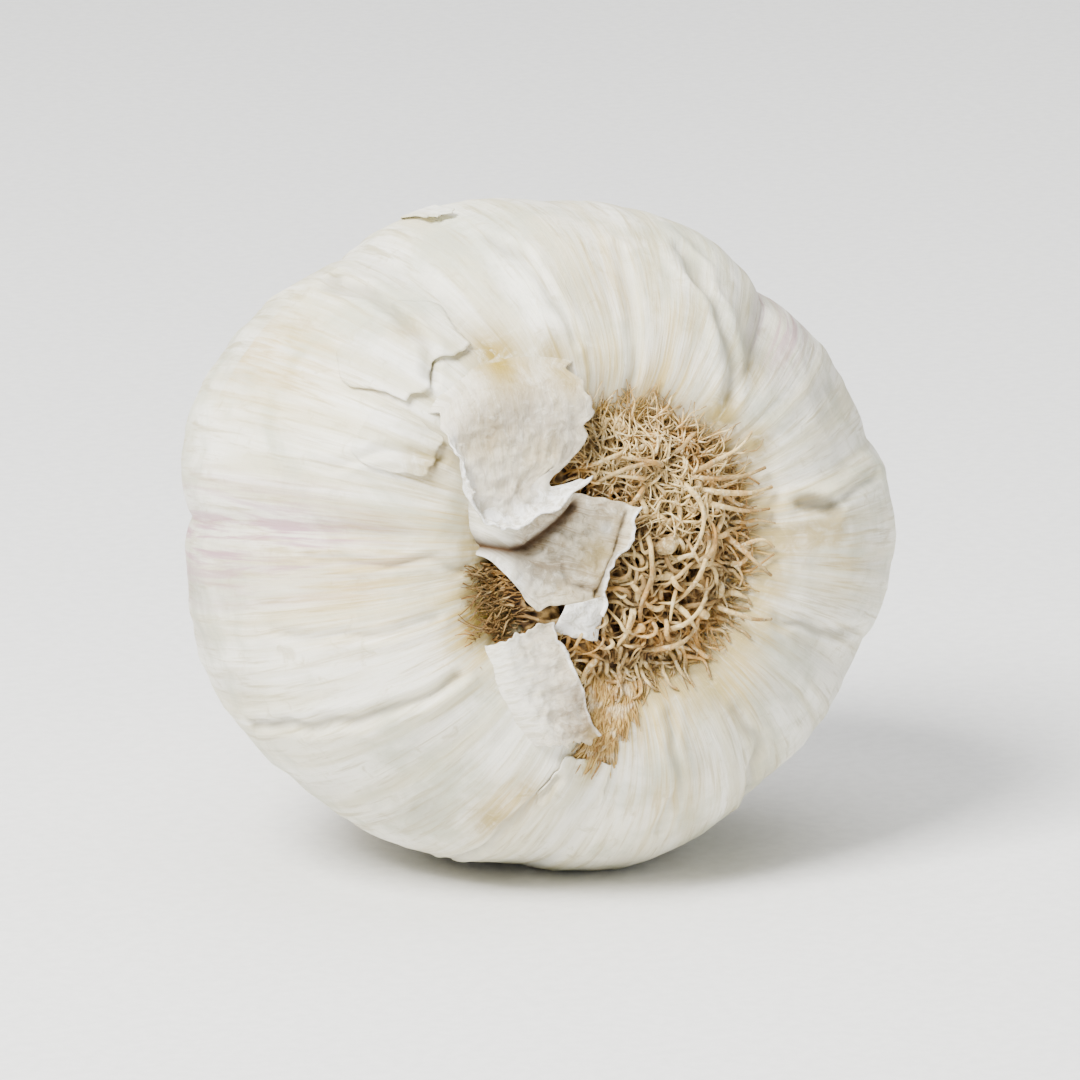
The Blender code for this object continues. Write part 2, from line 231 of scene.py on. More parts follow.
def add_sphere(name, segments, rings):
    """A new unit sphere, with its points as rows."""
    deselect_all()
    bpy.ops.mesh.primitive_uv_sphere_add(segments=segments, ring_count=rings, radius=1.0)
    sphere = bpy.context.object
    sphere.name = name
    return sphere, points_of(sphere)


def share_and_turn(unit):
    """Each sphere point's share of the way from pole to pole, and its turn in radians."""
    return np.arccos(unit[:, 2].clip(-1, 1)) / math.pi, np.arctan2(unit[:, 1], unit[:, 0])


# %% Skin: a line from the plate's recess to the socket round the stem
PLATE_RECESS = (-15.4, 0.0)
SHEATH_TEARS = ((2, 0.78, 0.7), (5, 0.52, 0.0))
SHEATH_LIP = ((33.5, 5.5), (33.0, 4.75), (28.0, 4.7), (28.0, 0.0))


def whole_profile():
    """The profile from the recess's middle to the socket's, evenly by length, and how much
    each of its points follows the sheath's torn end."""
    line = np.vstack(([PLATE_RECESS], curve_through(PROFILE, 16), SHEATH_LIP))
    torn = smooth_step(27.0, 33.0, line[:, 0])
    torn[-2:] = 0.0
    length = np.concatenate(([0.0], np.cumsum(np.hypot(*np.diff(line, axis=0).T))))
    return line, torn, length


LINE, TORN, LENGTH = whole_profile()
print("the line down the skin is", round(LENGTH[-1], 1), "mm long")


# %% Skin: any point of it


def profile_at(share):
    """(along, radius, torn, length, outward normal) at a share of the profile's length."""
    at = np.asarray(share) * LENGTH[-1]
    along, radius = np.interp(at, LENGTH, LINE[:, 0]), np.interp(at, LENGTH, LINE[:, 1])
    before, after = np.maximum(at - 0.4, 0), np.minimum(at + 0.4, LENGTH[-1])
    run_along = np.interp(after, LENGTH, LINE[:, 0]) - np.interp(before, LENGTH, LINE[:, 0])
    run_out = np.interp(after, LENGTH, LINE[:, 1]) - np.interp(before, LENGTH, LINE[:, 1])
    size = np.hypot(run_along, run_out) + 1e-9
    return along, radius, np.interp(at, LENGTH, TORN), at, -run_out / size, run_along / size


def skin_surface(share, turn, extra=0.0):
    """Points of the skin at shares of the profile and turns in radians, in millimetres."""
    along, radius, torn, _, normal_along, normal_out = profile_at(share)
    lift = lobe_height(np.degrees(turn)) * lobe_share(along < 0, radius) + extra
    tears = sum(high * np.sin(waves * turn + start) for waves, high, start in SHEATH_TEARS)
    along = along + normal_along * lift + torn * tears
    radius = radius + normal_out * lift
    oval = radius / WIDEST_RADIUS
    across = 1.0 + (BULB_WIDTH / 2 / WIDEST_RADIUS - 1.0) * oval
    upright = 1.0 + (BULB_HEIGHT / 2 / WIDEST_RADIUS - 1.0) * oval
    bend_right, bend_up = axis_offset(along)
    return np.column_stack((radius * across * np.cos(turn) + bend_right, along,
                            radius * upright * np.sin(turn) + bend_up))


print("halfway down the line:", skin_surface(np.array([0.5]), np.array([0.0])).round(1), "mm")

# %% Relief: ribs, veins, crumples and creases
SKIN_COLUMNS, SKIN_RINGS = 400, 240
RIM_RADIUS, RIM_WIDTH, RIM_CRUST = 10.8, 1.6, 0.35
RIB_HEIGHT, VEIN_HEIGHT, CRUMPLE_HEIGHT, FINE_CRUMPLE_HEIGHT = 0.24, 0.07, 0.5, 0.16
CREASES = (
    # (line of (right, up) points on the face, depth, half width)
    (((-20.5, 26.0), (-18.0, 23.0), (-15.0, 19.6), (-14.0, 16.8), (-14.6, 14.6)), 0.5, 0.5),
    (((-26.0, -13.0), (-21.0, -12.4), (-17.5, -11.0), (-14.6, -9.4)), 0.5, 0.5),
    (((-24.0, 1.2), (-19.0, 0.2), (-15.8, 0.6), (-13.2, -0.6)), 0.4, 0.35),
    (((9.8, 22.5), (11.4, 17.0), (11.2, 13.0), (10.4, 10.8)), 0.45, 0.6),
    (((19.6, 2.0), (22.0, 2.4), (25.0, 3.2)), 0.3, 0.5),
    (((16.0, 1.9), (17.4, 1.8), (18.9, 1.4)), 0.6, 0.65),
    (((9.8, -13.8), (12.4, -18.0), (14.0, -22.0)), 0.35, 0.5),
    (((-6.0, -18.0), (-8.4, -21.8), (-9.8, -25.0)), 0.45, 0.45),
    (((2.0, 12.0), (2.6, 17.0), (4.0, 23.0)), 0.28, 0.5),
    (((-2.6, 16.5), (-3.6, 21.0), (-5.6, 25.0)), 0.3, 0.45),
    (((-23.0, 8.5), (-18.5, 8.8), (-14.6, 8.4)), 0.3, 0.4),
    (((13.4, -7.0), (18.0, -8.6), (23.0, -9.0)), 0.3, 0.45),
    (((-16.0, -4.6), (-21.0, -5.6), (-27.0, -5.0)), 0.3, 0.4),
    (((3.4, -14.0), (4.4, -18.6), (4.0, -24.0)), 0.3, 0.45),
)


def skin_relief(share, turn):
    """Ribs, veins, crumples and creases, as millimetres out of the smooth form."""
    along, radius, _, at, _, _ = profile_at(share)
    open_skin = smooth_step(9.6, 14.0, radius) * (1 - smooth_step(24.0, 28.0, along))
    ring = np.column_stack((np.cos(turn), np.sin(turn), at / 30.0))
    turned = turn + 0.05 * noise_at(ring * (9.0, 9.0, 4.5), 1.0, 2)
    veins = np.column_stack((np.cos(turned) * 30, np.sin(turned) * 30, at / 26.0))
    smooth = skin_surface(share, turn)
    paper = np.column_stack((smooth[:, 0], smooth[:, 1] * 0.45, smooth[:, 2]))
    lift = RIB_HEIGHT * noise_at(veins, 3.1, 1) + VEIN_HEIGHT * noise_at(veins, 1.15, 3)
    lift += CRUMPLE_HEIGHT * (0.22 - np.abs(noise_at(paper, 9.0, 4)))
    lift += FINE_CRUMPLE_HEIGHT * (0.22 - np.abs(noise_at(paper, 3.0, 5)))
    lift *= open_skin
    rim = np.exp(-(((radius - RIM_RADIUS) / RIM_WIDTH) ** 2)) * (along < 0)
    lift += RIM_CRUST * rim * (0.3 - np.abs(noise_at(smooth, 0.9, 7)))
    on_face = along < -2.0
    spots = smooth[on_face][:, [0, 2]]
    spots = spots + 0.7 * noise_at(smooth[on_face], 3.0, 6)[:, None]
    for line, depth, half_width in CREASES:
        gap = distance_to_line(spots, line) / half_width
        lift[on_face] += depth * (0.5 * np.exp(-((gap - 2.0) ** 2)) - np.exp(-(gap**2)))
    return lift


# %% Skin: the sphere's points slid to their places
bulb_skin, unit = add_sphere("bulb_skin", SKIN_COLUMNS, SKIN_RINGS)
skin_share, skin_turn = share_and_turn(unit)
skin_lift = skin_relief(skin_share, skin_turn)
in_scene = to_scene(skin_surface(skin_share, skin_turn, skin_lift))
in_scene[:, 2] = np.maximum(in_scene[:, 2], 0.0)
place_points(bulb_skin, in_scene)
bpy.ops.object.shade_smooth()
print("skin:", len(bulb_skin.data.polygons), "faces, relief from", skin_lift.min().round(2),
      "to", skin_lift.max().round(2), "mm")

# %% [markdown]
# ## Where the skin is stained, and where shade is painted on it
#
# Soil, sap and pigment stain dried skin in streaks along its veins. Each stain here is a place
# on the bulb with an amount. They are stored at the skin's points: red for straw yellow, green
# for mauve, blue for tan, which under the root mat is painted shade, and alpha for the beige of
# a thin place or of the mat's rim. A second attribute, grain, holds coordinates in millimetres
# in which the veins run straight, so that a noise read in them becomes streaks. A third holds
# painted shade: it greys the skin by the depth of its seams and creases, under the root mat, and
# in a painted shadow patch right of the mat.

# %% Stains, vein coordinates and painted shade
# Spots on the root end: right, up, radius and amount, in millimetres.
TAN_SPOTS = ((-9.0, 16.0, 2.4, 1.0), (-4.4, 15.6, 2.0, 0.8), (-16.0, 8.0, 1.9, 0.7),
             (-14.0, 8.6, 1.4, 0.6), (-2.0, 15.6, 1.6, 0.4), (9.8, 9.8, 1.8, 0.8),
             (12.6, 7.2, 1.6, 0.8), (-3.6, -17.2, 1.3, 0.9), (-0.6, -11.2, 2.8, 1.0),
             (-1.8, -14.2, 2.2, 1.0), (13.0, 12.8, 1.8, 0.4), (-9.8, -21.5, 1.2, 0.7),
             (-8.2, -19.0, 0.9, 0.7), (7.0, -12.2, 2.0, 0.5), (-15.0, 18.2, 1.2, 0.5),
             (5.4, 9.6, 1.8, 0.6), (-11.4, -4.6, 2.4, 1.0), (-12.2, -2.2, 1.4, 0.5))
STRAW_SPOTS = ((-12.6, -4.6, 3.8, 1.0), (1.5, -13.5, 4.4, 0.8), (9.0, -11.0, 3.4, 0.7),
               (13.5, 0.0, 3.6, 0.7), (5.0, 12.5, 3.6, 0.7), (-15.0, 3.0, 3.4, 0.5),
               (0.0, 14.0, 3.0, 0.5), (-24.0, 17.0, 5.0, 0.5), (-21.0, -1.0, 6.0, 0.5),
               (-8.8, -20.0, 2.6, 0.6), (4.0, -21.0, 4.0, 0.4), (20.0, -3.0, 4.0, 0.4),
               (2.5, 22.0, 4.0, 0.4), (6.5, 17.5, 3.2, 0.4), (12.0, -8.0, 2.6, 0.5))
BEIGE_SPOTS = ((-12.0, -3.4, 1.6, 0.6), (9.4, 9.2, 2.0, 0.7), (11.6, 6.6, 1.8, 0.7))
# Patches with clearer edges right of the mat: the line down the middle and the half width.
# A painted shadow above a torn edge of skin.
PAINTED_SHADOW_PATCH = (((16.0, 2.0), (17.4, 1.8), (19.0, 1.2)), 0.8)
BEIGE_PATCH = (((13.6, -1.0), (16.6, -0.7), (18.8, -0.5)), 1.4)
# Mauve sides: the turn in degrees, its spread, the radii where it comes in, and the amount.
MAUVE_SIDES = ((175.0, 9.0, (14.0, 26.0), 1.0), (41.0, 8.0, (18.0, 26.0), 0.7))
MAT_MIDDLE, MAT_REACH = (0.6, -1.1), (12.6, 11.2)
GRAIN_RADIUS, GRAIN_STRETCH = 30.0, 12.0


# %% Stains: how they are laid on the skin


def spot_mask(points, spots):
    """How strongly each face point (right, up) lies in any of the round spots."""
    mask = np.zeros(len(points))
    for right, up, radius, amount in spots:
        gap = np.hypot(points[:, 0] - right, points[:, 1] - up) / radius
        mask = np.maximum(mask, amount * np.exp(-(gap**2)))
    return mask


def patch_mask(points, patch):
    """The same for a patch round a line, with a clearer edge."""
    line, half_width = patch
    gap = distance_to_line(points, line) + 0.5 * noise_along(points[:, 0], 1.6, 12)
    return smooth_step(1.3 * half_width, 0.5 * half_width, gap)


def mauve_of(points, along, radius, degrees):
    """How mauve the skin is: streaks on two sides of the root end, and blotches behind."""
    behind = smooth_step(2.0, 16.0, along) * (1 - smooth_step(24.0, 30.0, along))
    mauve = 0.7 * behind * (0.5 + 0.5 * noise_at(points, 6.0, 8))
    for middle, spread, reach, amount in MAUVE_SIDES:
        streak = np.exp(-(((degrees - middle) / spread) ** 2)) * smooth_step(*reach, radius)
        mauve = np.maximum(mauve, amount * streak)
    return mauve


def mark_skin(obj, share, turn, lift):
    """Stores stains, vein coordinates and painted shade on a piece of skin."""
    along, radius, _, at, _, _ = profile_at(share)
    points = skin_surface(share, turn)
    face_points = points[:, [0, 2]]
    on_face = along < -2.0
    degrees = np.degrees(turn) % 360.0
    over_mat = (face_points - MAT_MIDDLE) / MAT_REACH
    ragged = np.hypot(*over_mat.T) + 0.07 * noise_at(points, 1.6, 9)
    rim = np.exp(-(((ragged - 0.98) / 0.15) ** 2))
    # Painted shade under the root mat, laid on through the tan stain and the painted shade.
    shade_under_mat = on_face * smooth_step(10.8, 9.4, radius)
    neck = smooth_step(19.0, 29.0, along)
    straw = on_face * np.maximum(spot_mask(face_points, STRAW_SPOTS), 0.7 * rim)
    tan = on_face * np.maximum.reduce((
        spot_mask(face_points, TAN_SPOTS), 0.35 * rim, shade_under_mat))
    beige = on_face * np.maximum.reduce((
        spot_mask(face_points, BEIGE_SPOTS), patch_mask(face_points, BEIGE_PATCH), 0.75 * rim))
    give_attribute(obj, "stains", "FLOAT_COLOR", np.column_stack((
        np.clip(straw + 0.8 * neck, 0, 1),
        np.clip(mauve_of(points, along, radius, degrees), 0, 1),
        np.clip(tan + 0.25 * neck, 0, 1), beige)))
    give_attribute(obj, "grain", "FLOAT_VECTOR", np.column_stack((
        GRAIN_RADIUS * np.cos(turn), GRAIN_RADIUS * np.sin(turn), at / GRAIN_STRETCH)))
    # Painted shade: greyer by seam and crease depth, under the mat, and in a painted shadow patch.
    seam = -lobe_height(degrees).clip(-3.0, 0.0) * lobe_share(along < 0, radius)
    painted_shade = 0.6 * np.clip(seam / 1.6, 0, 1) + 0.9 * np.clip(-lift / 0.5, 0, 1)
    painted_shade = np.maximum.reduce((
        painted_shade, 1.5 * on_face * patch_mask(face_points, PAINTED_SHADOW_PATCH), 1.9 * shade_under_mat))
    give_attribute(obj, "painted_shade", "FLOAT", np.clip(painted_shade, 0, 1.9))


mark_skin(bulb_skin, skin_share, skin_turn, skin_lift)
print("skin attributes:", [attribute.name for attribute in bulb_skin.data.attributes])

# %% [markdown]
# ## Helpers for materials
#
# Every finish below is a small graph of nodes, built up as a painter would: a base colour, then
# layers over it, each laid on by a share that a pattern or a stain gives. One helper turns a hex
# colour as a picture shows it into the linear numbers that a shader takes, and one adds a node
# with its settings and links. The others start a finish, lay its colours and add up its relief.

# %% Material helpers: colours and nodes


def linear(hex_colour):
    """An sRGB hex colour as linear red, green, blue and alpha."""
    parts = [int(hex_colour[k:k + 2], 16) / 255 for k in (1, 3, 5)]
    return [p / 12.92 if p <= 0.04045 else ((p + 0.055) / 1.055) ** 2.4 for p in parts] + [1.0]


def fill_sockets(tree, node, sockets):
    """Gives each socket of a node its value, or its link from another node."""
    for socket, value in sockets.items():
        if isinstance(value, bpy.types.NodeSocket):
            tree.links.new(value, node.inputs[socket])
        else:
            node.inputs[socket].default_value = value


def add_node(tree, kind, settings=None, sockets=None):
    """Adds a node with its settings, values and links."""
    made = tree.nodes.new("ShaderNode" + kind)
    for option, value in (settings or {}).items():
        setattr(made, option, value)
    fill_sockets(tree, made, sockets or {})
    return made


print("mid grey #808080 is", round(linear("#808080")[0], 3), "in linear light")

# %% Material helpers: starting, painting and finishing
SMOOTH, MULTIPLY, ADD_UP = ({"interpolation_type": "SMOOTHSTEP"}, {"operation": "MULTIPLY"},
                            {"operation": "MULTIPLY_ADD"})


def new_material(name, place=None, grain=None):
    """A material, its tree, its shader, and its noise patterns in the order given.

    Patterns in place read where a point is, and those in grain run along the veins. Each has the
    size of its features in millimetres, its detail, its roughness and its distortion.
    """
    material = bpy.data.materials.new(name)
    material.use_nodes = True
    tree = material.node_tree
    patterns = []
    for kind, settings, output, unit, group in (
            ("TexCoord", None, "Object", MM, place),
            ("Attribute", {"attribute_name": "grain"}, "Vector", 1.0, grain)):
        if group:
            vector = add_node(tree, kind, settings).outputs[output]
            for size, detail, roughness, distortion in group:
                patterns.append(add_node(tree, "TexNoise", None, {
                    "Vector": vector, "Scale": 1.0 / (size * unit), "Detail": detail,
                    "Roughness": roughness, "Distortion": distortion}).outputs["Fac"])
    return material, tree, tree.nodes["Principled BSDF"], patterns


def paint(tree, base, *layers):
    """Lays colours over a base. A layer is its colour, and then what its share is made of.

    Each factor of the share is a number, a value that the piece carries, or a pattern with the
    two values between which the layer comes in, and its least and most share.
    """
    def as_colour(colour):
        return linear(colour) if isinstance(colour, str) else colour

    painted = as_colour(base)
    for colour, *factors in layers:
        share = None
        for factor in factors:
            if isinstance(factor, tuple):
                pattern, low, high, least, most = factor
                factor = add_node(tree, "MapRange", SMOOTH, {
                    "Value": pattern, "From Min": low, "From Max": high,
                    "To Min": least, "To Max": most}).outputs["Result"]
            if share is not None:
                factor = add_node(tree, "Math", MULTIPLY, {0: share, 1: factor}).outputs[0]
            share = factor
        painted = add_node(tree, "Mix", {"data_type": "RGBA"}, {
            0: share, 6: painted, 7: as_colour(colour)}).outputs[2]
    return painted


def relief(tree, depth_mm, strength, *parts):
    """Fine relief from the sum of patterns, each with its weight, as a normal."""
    height = 0.0
    for pattern, weight in parts:
        height = add_node(tree, "Math", ADD_UP, {0: pattern, 1: weight, 2: height}).outputs[0]
    return add_node(tree, "Bump", None, {
        "Height": height, "Distance": depth_mm * MM, "Strength": strength}).outputs["Normal"]


def finish_with(obj, material, slot, *nodes):
    """Gives a piece its only material and its body, and hides the nodes it stands for. Its slot is
    not used.
    """
    obj.data.materials.clear()
    obj.data.materials.append(material)
    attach(obj, "root")
    if nodes:
        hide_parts(*nodes)


# %% [markdown]
# ## Garlic skin, cured and dried
#
# The outer skin is a dried leaf: off-white, a little see-through, with a satin sheen and fine
# veins. Light enters it and comes out softened, which subsurface scattering gives. Where the
# skin has lifted from the clove it looks whiter, and where it clings it looks greyer. Streaks
# are noise read in the grain coordinates, so that they follow the veins to both ends.
#
# Veins lie about 0.7 mm apart. The hairs between them are under 0.1 mm wide, too fine to show,
# so they are drawn 0.26 mm wide. The skin clings to the cloves in areas of about 9 mm, and it
# crinkles every 1.7 mm.

# %% Material: cured garlic skin
skin_material, tree, shader, patterns = new_material(
    "cured_garlic_skin",
    place=((9.0, 5.0, 0.62, 0.5), (1.7, 6.0, 0.66, 0.8)),
    grain=((3.0, 4.0, 0.62, 0.6), (0.7, 4.0, 0.66, 0.3), (0.26, 2.0, 0.5, 0.0),
           (1.3, 4.0, 0.66, 0.5)))
cling, crinkle, broad, veins, hairs, flush = patterns
stains = add_node(tree, "Attribute", {"attribute_name": "stains"}).outputs
straw, mauve, tan = add_node(tree, "SeparateColor", None, {"Color": stains["Color"]}).outputs
painted_shade = add_node(tree, "Attribute", {"attribute_name": "painted_shade"}).outputs["Fac"]
colour = paint(
    tree, "#FDFAEC",
    ("#DFD8BA", (broad, 0.40, 0.64, 0.0, 1.0)),
    ("#C6C8B0", (cling, 0.44, 0.68, 0.0, 0.8)),
    ("#BDB28C", (veins, 0.50, 0.70, 0.0, 0.75)),
    ("#C8BF9F", (crinkle, 0.55, 0.74, 0.0, 0.7)),
    # Painted shade: grey in seams and creases, under the mat, and in a painted shadow patch.
    ("#7D7560", painted_shade, 0.52),
    ("#CFAE50", straw, (veins, 0.36, 0.60, 0.2, 1.0)),
    ("#BDAB7C", stains["Alpha"], (crinkle, 0.35, 0.60, 0.45, 1.0)),
    ("#B08192", mauve, (flush, 0.45, 0.62, 0.05, 0.85)),
    ("#9E8530", tan, (crinkle, 0.26, 0.54, 0.0, 1.0)))
sheen = add_node(tree, "MapRange", SMOOTH, {
    "Value": cling, "From Min": 0.3, "From Max": 0.7, "To Min": 0.44, "To Max": 0.60})
fill_sockets(tree, shader, {
    "Base Color": colour, "Roughness": sheen.outputs["Result"], "IOR": 1.47,
    "Specular IOR Level": 0.4, "Subsurface Weight": 0.15,
    "Subsurface Radius": (1.0, 0.85, 0.6), "Subsurface Scale": 1.2 * MM,
    "Normal": relief(tree, 0.2, 0.8, (veins, 0.5), (hairs, 0.2), (crinkle, 0.6))})
finish_with(bulb_skin, skin_material, "skin", "bulb")
print("skin material:", len(tree.nodes), "nodes")

# %% [markdown]
# ## Torn skin flaps
#
# Three torn pieces of inner skin lie across the root plate. Each is a grid from its operator,
# laid between the edge that holds and the torn lip. The held edge sinks into the skin, so that
# the flap grows out of it. The torn edges wander by noise. The upper flap's lip is dry and has
# rolled over on itself, which shows its white outer side: the last millimetres of the sheet
# are bent round a small radius. Solidify then gives the sheet the thickness of a few dry skins.

# %% Flaps: where they lie
# Places are (right, up) on the root end in millimetres. A valley is a line with its depth, its
# half width and how dark it is painted: soil stain on the upper flap, and painted shade in the
# crevices under the upper flap's lip and along folds, and on the lower flap's tip. A roll is
# its width and its radius. A notch is where it is on the way out, its width, and its depth as a
# share of the flap's width.
SHEET_THICKNESS = 0.14
FLAP_CELLS = 110
FLAP_SUNK, FLAP_RISE = 0.5, 0.95
FLAPS = {
    "upper": {
        "held": ((-15.6, 12.0), (-10.0, 16.2), (-2.2, 15.6)),
        "lip": ((-14.0, 5.0), (-10.5, 1.9), (-3.6, 5.2)), "front": 21.6, "rise": 0.22,
        "roll": (2.4, 1.5), "side_roll": (1.5, 1.0), "white_rim": 3.6, "ragged": 0.4,
        "notch": (0.80, 0.09, 0.24), "wave": 0.5,
        "valleys": ((((-11.4, 10.4), (-9.0, 11.4)), 0.0, 2.0, 0.3),
                    (((-6.0, 9.8), (-4.4, 8.2)), 0.0, 1.6, 0.26),
                    (((-10.6, 6.0), (-8.6, 5.4)), 0.0, 1.3, 0.2)),
        "aged": 0.6, "aged_from": (0.03, 0.2), "aged_spots": (), "white": ((-13.8, 6.4, 1.2),),
    },
    "middle": {
        "held": ((-12.9, 7.0), (-13.3, 4.0), (-12.7, 1.0)),
        "lip": ((1.4, 3.0), (-0.1, -1.2), (-2.4, -5.2)), "front": 20.1, "rise": 0.22,
        "roll": (1.0, 0.6), "side_roll": (0.0, 0.6), "white_rim": 0.5, "ragged": 0.35,
        "notch": (0.44, 0.24, -0.27), "wave": 0.6,
        # The first valley is a crevice painted dark as shadow under the upper flap's lip.
        "valleys": ((((-13.2, 1.9), (-11.4, 1.0), (-9.4, 0.5), (-8.0, 0.6), (-6.6, 1.4),
                      (-5.0, 2.6), (-3.9, 3.6)), 1.2, 0.55, 1.0),
                    (((0.2, 2.6), (-0.8, -0.6), (-2.6, -3.8)), 0.5, 0.24, 0.35),
                    (((-5.2, -1.1), (-4.8, -2.5), (-2.3, -3.4)), 0.4, 0.3, 0.3)),
        "aged": 0.9, "aged_from": (0.27, 0.36), "aged_spots": (),
        "white": ((-11.0, -0.8, 1.6), (-9.6, -2.2, 1.3), (-1.4, 1.6, 0.5)),
    },
    "lower": {
        "held": ((-12.4, -7.0), (-11.4, -11.2), (-8.4, -15.6)),
        "lip": ((-6.2, -5.4), (-4.9, -9.6), (-3.0, -15.0)), "front": 20.0, "rise": 0.6,
        "roll": (0.6, 0.8), "side_roll": (0.0, 0.6), "white_rim": 0.3, "ragged": 0.35,
        "notch": (0.0, 0.1, 0.0), "wave": 0.35,
        # The first valley is painted shade on the lower flap's tip.
        "valleys": ((((-5.0, -11.6), (-4.2, -14.6)), 0.0, 1.7, 0.5),
                    (((-6.4, -5.8), (-5.2, -7.0)), 0.0, 0.9, 0.3)),
        "aged": 0.8, "aged_from": (0.1, 1.0),
        "aged_spots": ((-4.4, -13.4, 3.4, 1.0), (-5.6, -6.4, 1.2, 0.7), (-7.4, -9.6, 1.6, 0.4)),
        "white": (),
    },
}
FLAP_TAN_SPOTS = ((-9.0, 15.4, 2.6, 1.0), (-4.0, 14.6, 2.0, 0.8), (-11.6, 9.4, 1.8, 0.4),
                  (-7.0, 8.2, 1.6, 0.35), (-2.0, -0.5, 2.2, 0.55), (-0.8, 1.6, 1.2, 0.35),
                  (-5.0, -3.8, 1.4, 0.5), (-2.6, -4.2, 1.2, 0.5), (-3.6, -14.8, 1.2, 0.6))


print("flaps:", list(FLAPS))

# %% Flaps: laying and rolling a sheet


def bow_through(points, t):
    """Points on the bow that passes through three points."""
    first, middle, last = np.asarray(points, float)
    control = 2 * middle - (first + last) / 2
    t = np.asarray(t, float)[:, None]
    return first * (1 - t) ** 2 + control * (2 * t * (1 - t)) + last * t**2


def flap_sheet(flap, across, out):
    """The flap's points (right, up, front) for shares across its lip and out from its hold."""
    held, lip = bow_through(flap["held"], across), bow_through(flap["lip"], across)
    spot = held + (lip - held) * out[:, None]
    rise = FLAP_RISE * smooth_step(0.0, flap["rise"], out)
    skin = skin_front(spot[:, 0], spot[:, 1]) - FLAP_SUNK + rise
    share = smooth_step(0.02, 0.34, out)
    front = np.maximum(skin, skin * (1 - share) + flap["front"] * share)
    for line, depth, half_width, _ in flap["valleys"]:
        front = front - depth * np.exp(-((distance_to_line(spot, line) / half_width) ** 2))
    return np.column_stack((spot, front))


def roll_edge(points, away, reach, width, bend_radius):
    """Rolls the last millimetres before an edge forward, towards the viewer."""
    past = np.maximum(0.0, width - reach)
    turn = past / bend_radius
    points[:, :2] -= away * (past - bend_radius * np.sin(turn))[:, None]
    points[:, 2] += bend_radius * (1 - np.cos(turn))


# %% Sheets: a grid, and its walls


def give_walls(sheet, thickness_mm):
    """Turns the active sheet into a thin closed wall with its faces outwards."""
    bpy.ops.object.shade_smooth()
    walls = sheet.modifiers.new("walls", "SOLIDIFY")
    walls.thickness = thickness_mm * MM
    walls.offset = 0.0
    bpy.ops.object.modifier_apply(modifier=walls.name)
    bpy.ops.object.mode_set(mode="EDIT")
    bpy.ops.mesh.select_all(action="SELECT")
    bpy.ops.mesh.normals_make_consistent(inside=False)
    bpy.ops.object.mode_set(mode="OBJECT")


def add_grid(name, columns, rows):
    """A new flat grid, with the shares of each of its points across and along it."""
    deselect_all()
    bpy.ops.mesh.primitive_grid_add(x_subdivisions=columns, y_subdivisions=rows, size=1)
    sheet = bpy.context.object
    sheet.name = name
    flat = (points_of(sheet) + 0.5).clip(0, 1)
    return sheet, flat[:, 0], flat[:, 1]


# %% Flaps: torn edges, rolled lips and colours


def mark_flap(sheet, spots, grain, outer, aged, soil_and_shade):
    """Stores what the material of a torn inner skin reads."""
    give_attribute(sheet, "grain", "FLOAT_VECTOR", grain)
    give_attribute(sheet, "soil_and_shade", "FLOAT", np.clip(soil_and_shade, 0, 1))
    give_attribute(sheet, "sides", "FLOAT_COLOR", np.column_stack((
        np.clip(outer, 0, 1), np.clip(aged, 0, 1), spot_mask(spots, FLAP_TAN_SPOTS),
        np.ones(len(outer)))))


def torn_shares(flap, across, out, seed):
    """The grid's shares once its edges are torn and its free side is notched."""
    tear = noise_along(across * 10, 2.4, seed) + 0.35 * noise_along(across * 10, 0.8, seed + 1)
    side = noise_along(out * 10, 2.4, seed + 2) + 0.5 * noise_along(out * 10, 0.8, seed + 3)
    ragged = flap["ragged"] / 4.0
    torn_across = across + ragged * side * (2 * across - 1) * np.abs(2 * across - 1)
    notch_out, notch_width, notch_depth = flap["notch"]
    notch = notch_depth * np.exp(-(((out - notch_out) / notch_width) ** 2))
    return (torn_across - notch * smooth_step(0.4, 1.0, across),
            out * (1 + ragged * tear * smooth_step(0.3, 1.0, out)))


def roll_lip_and_side(flap, points, across, out, seed):
    """Rolls the lip and one side over, and returns how much the outer side shows."""
    held, lip = bow_through(flap["held"], across), bow_through(flap["lip"], across)
    reach = np.linalg.norm(lip - held, axis=1)
    from_lip = (1 - out) * reach
    roll_width, roll_radius = flap["roll"]
    swing = 1 + 0.25 * noise_along(across * 10, 2.6, seed + 6)
    roll_edge(points, (lip - held) / reach[:, None], from_lip, roll_width * swing, roll_radius)
    first, last = np.array(flap["lip"][0]), np.array(flap["lip"][2])
    width = np.linalg.norm(last - first)
    side_width, side_radius = flap["side_roll"]
    loose = smooth_step(0.1, 0.5, out)
    roll_edge(points, ((first - last) / width)[None, :], across * width, side_width * loose,
              side_radius)
    rim = flap["white_rim"] * (1 + 0.35 * noise_along(across * 10, 1.2, seed + 7))
    side = smooth_step(0.9, 0.3, across * width / (0.6 * rim)) * loose * (side_width > 0)
    return np.maximum(smooth_step(1.0, 0.35, from_lip / rim), side)


def flap_wave(flap, shape, out, seed):
    """How far the sheet waves and crumples forward, more the further from its hold."""
    crumple = 0.22 - np.abs(noise_at(shape, 1.9, seed + 5))
    crumple += 0.45 * (0.22 - np.abs(noise_at(shape, 0.9, seed + 8)))
    wave = flap["wave"] * noise_at(shape, 4.0, seed + 4)
    return (wave + 0.5 * crumple) * smooth_step(0.12, 0.5, out)


# %% Flaps: making the three


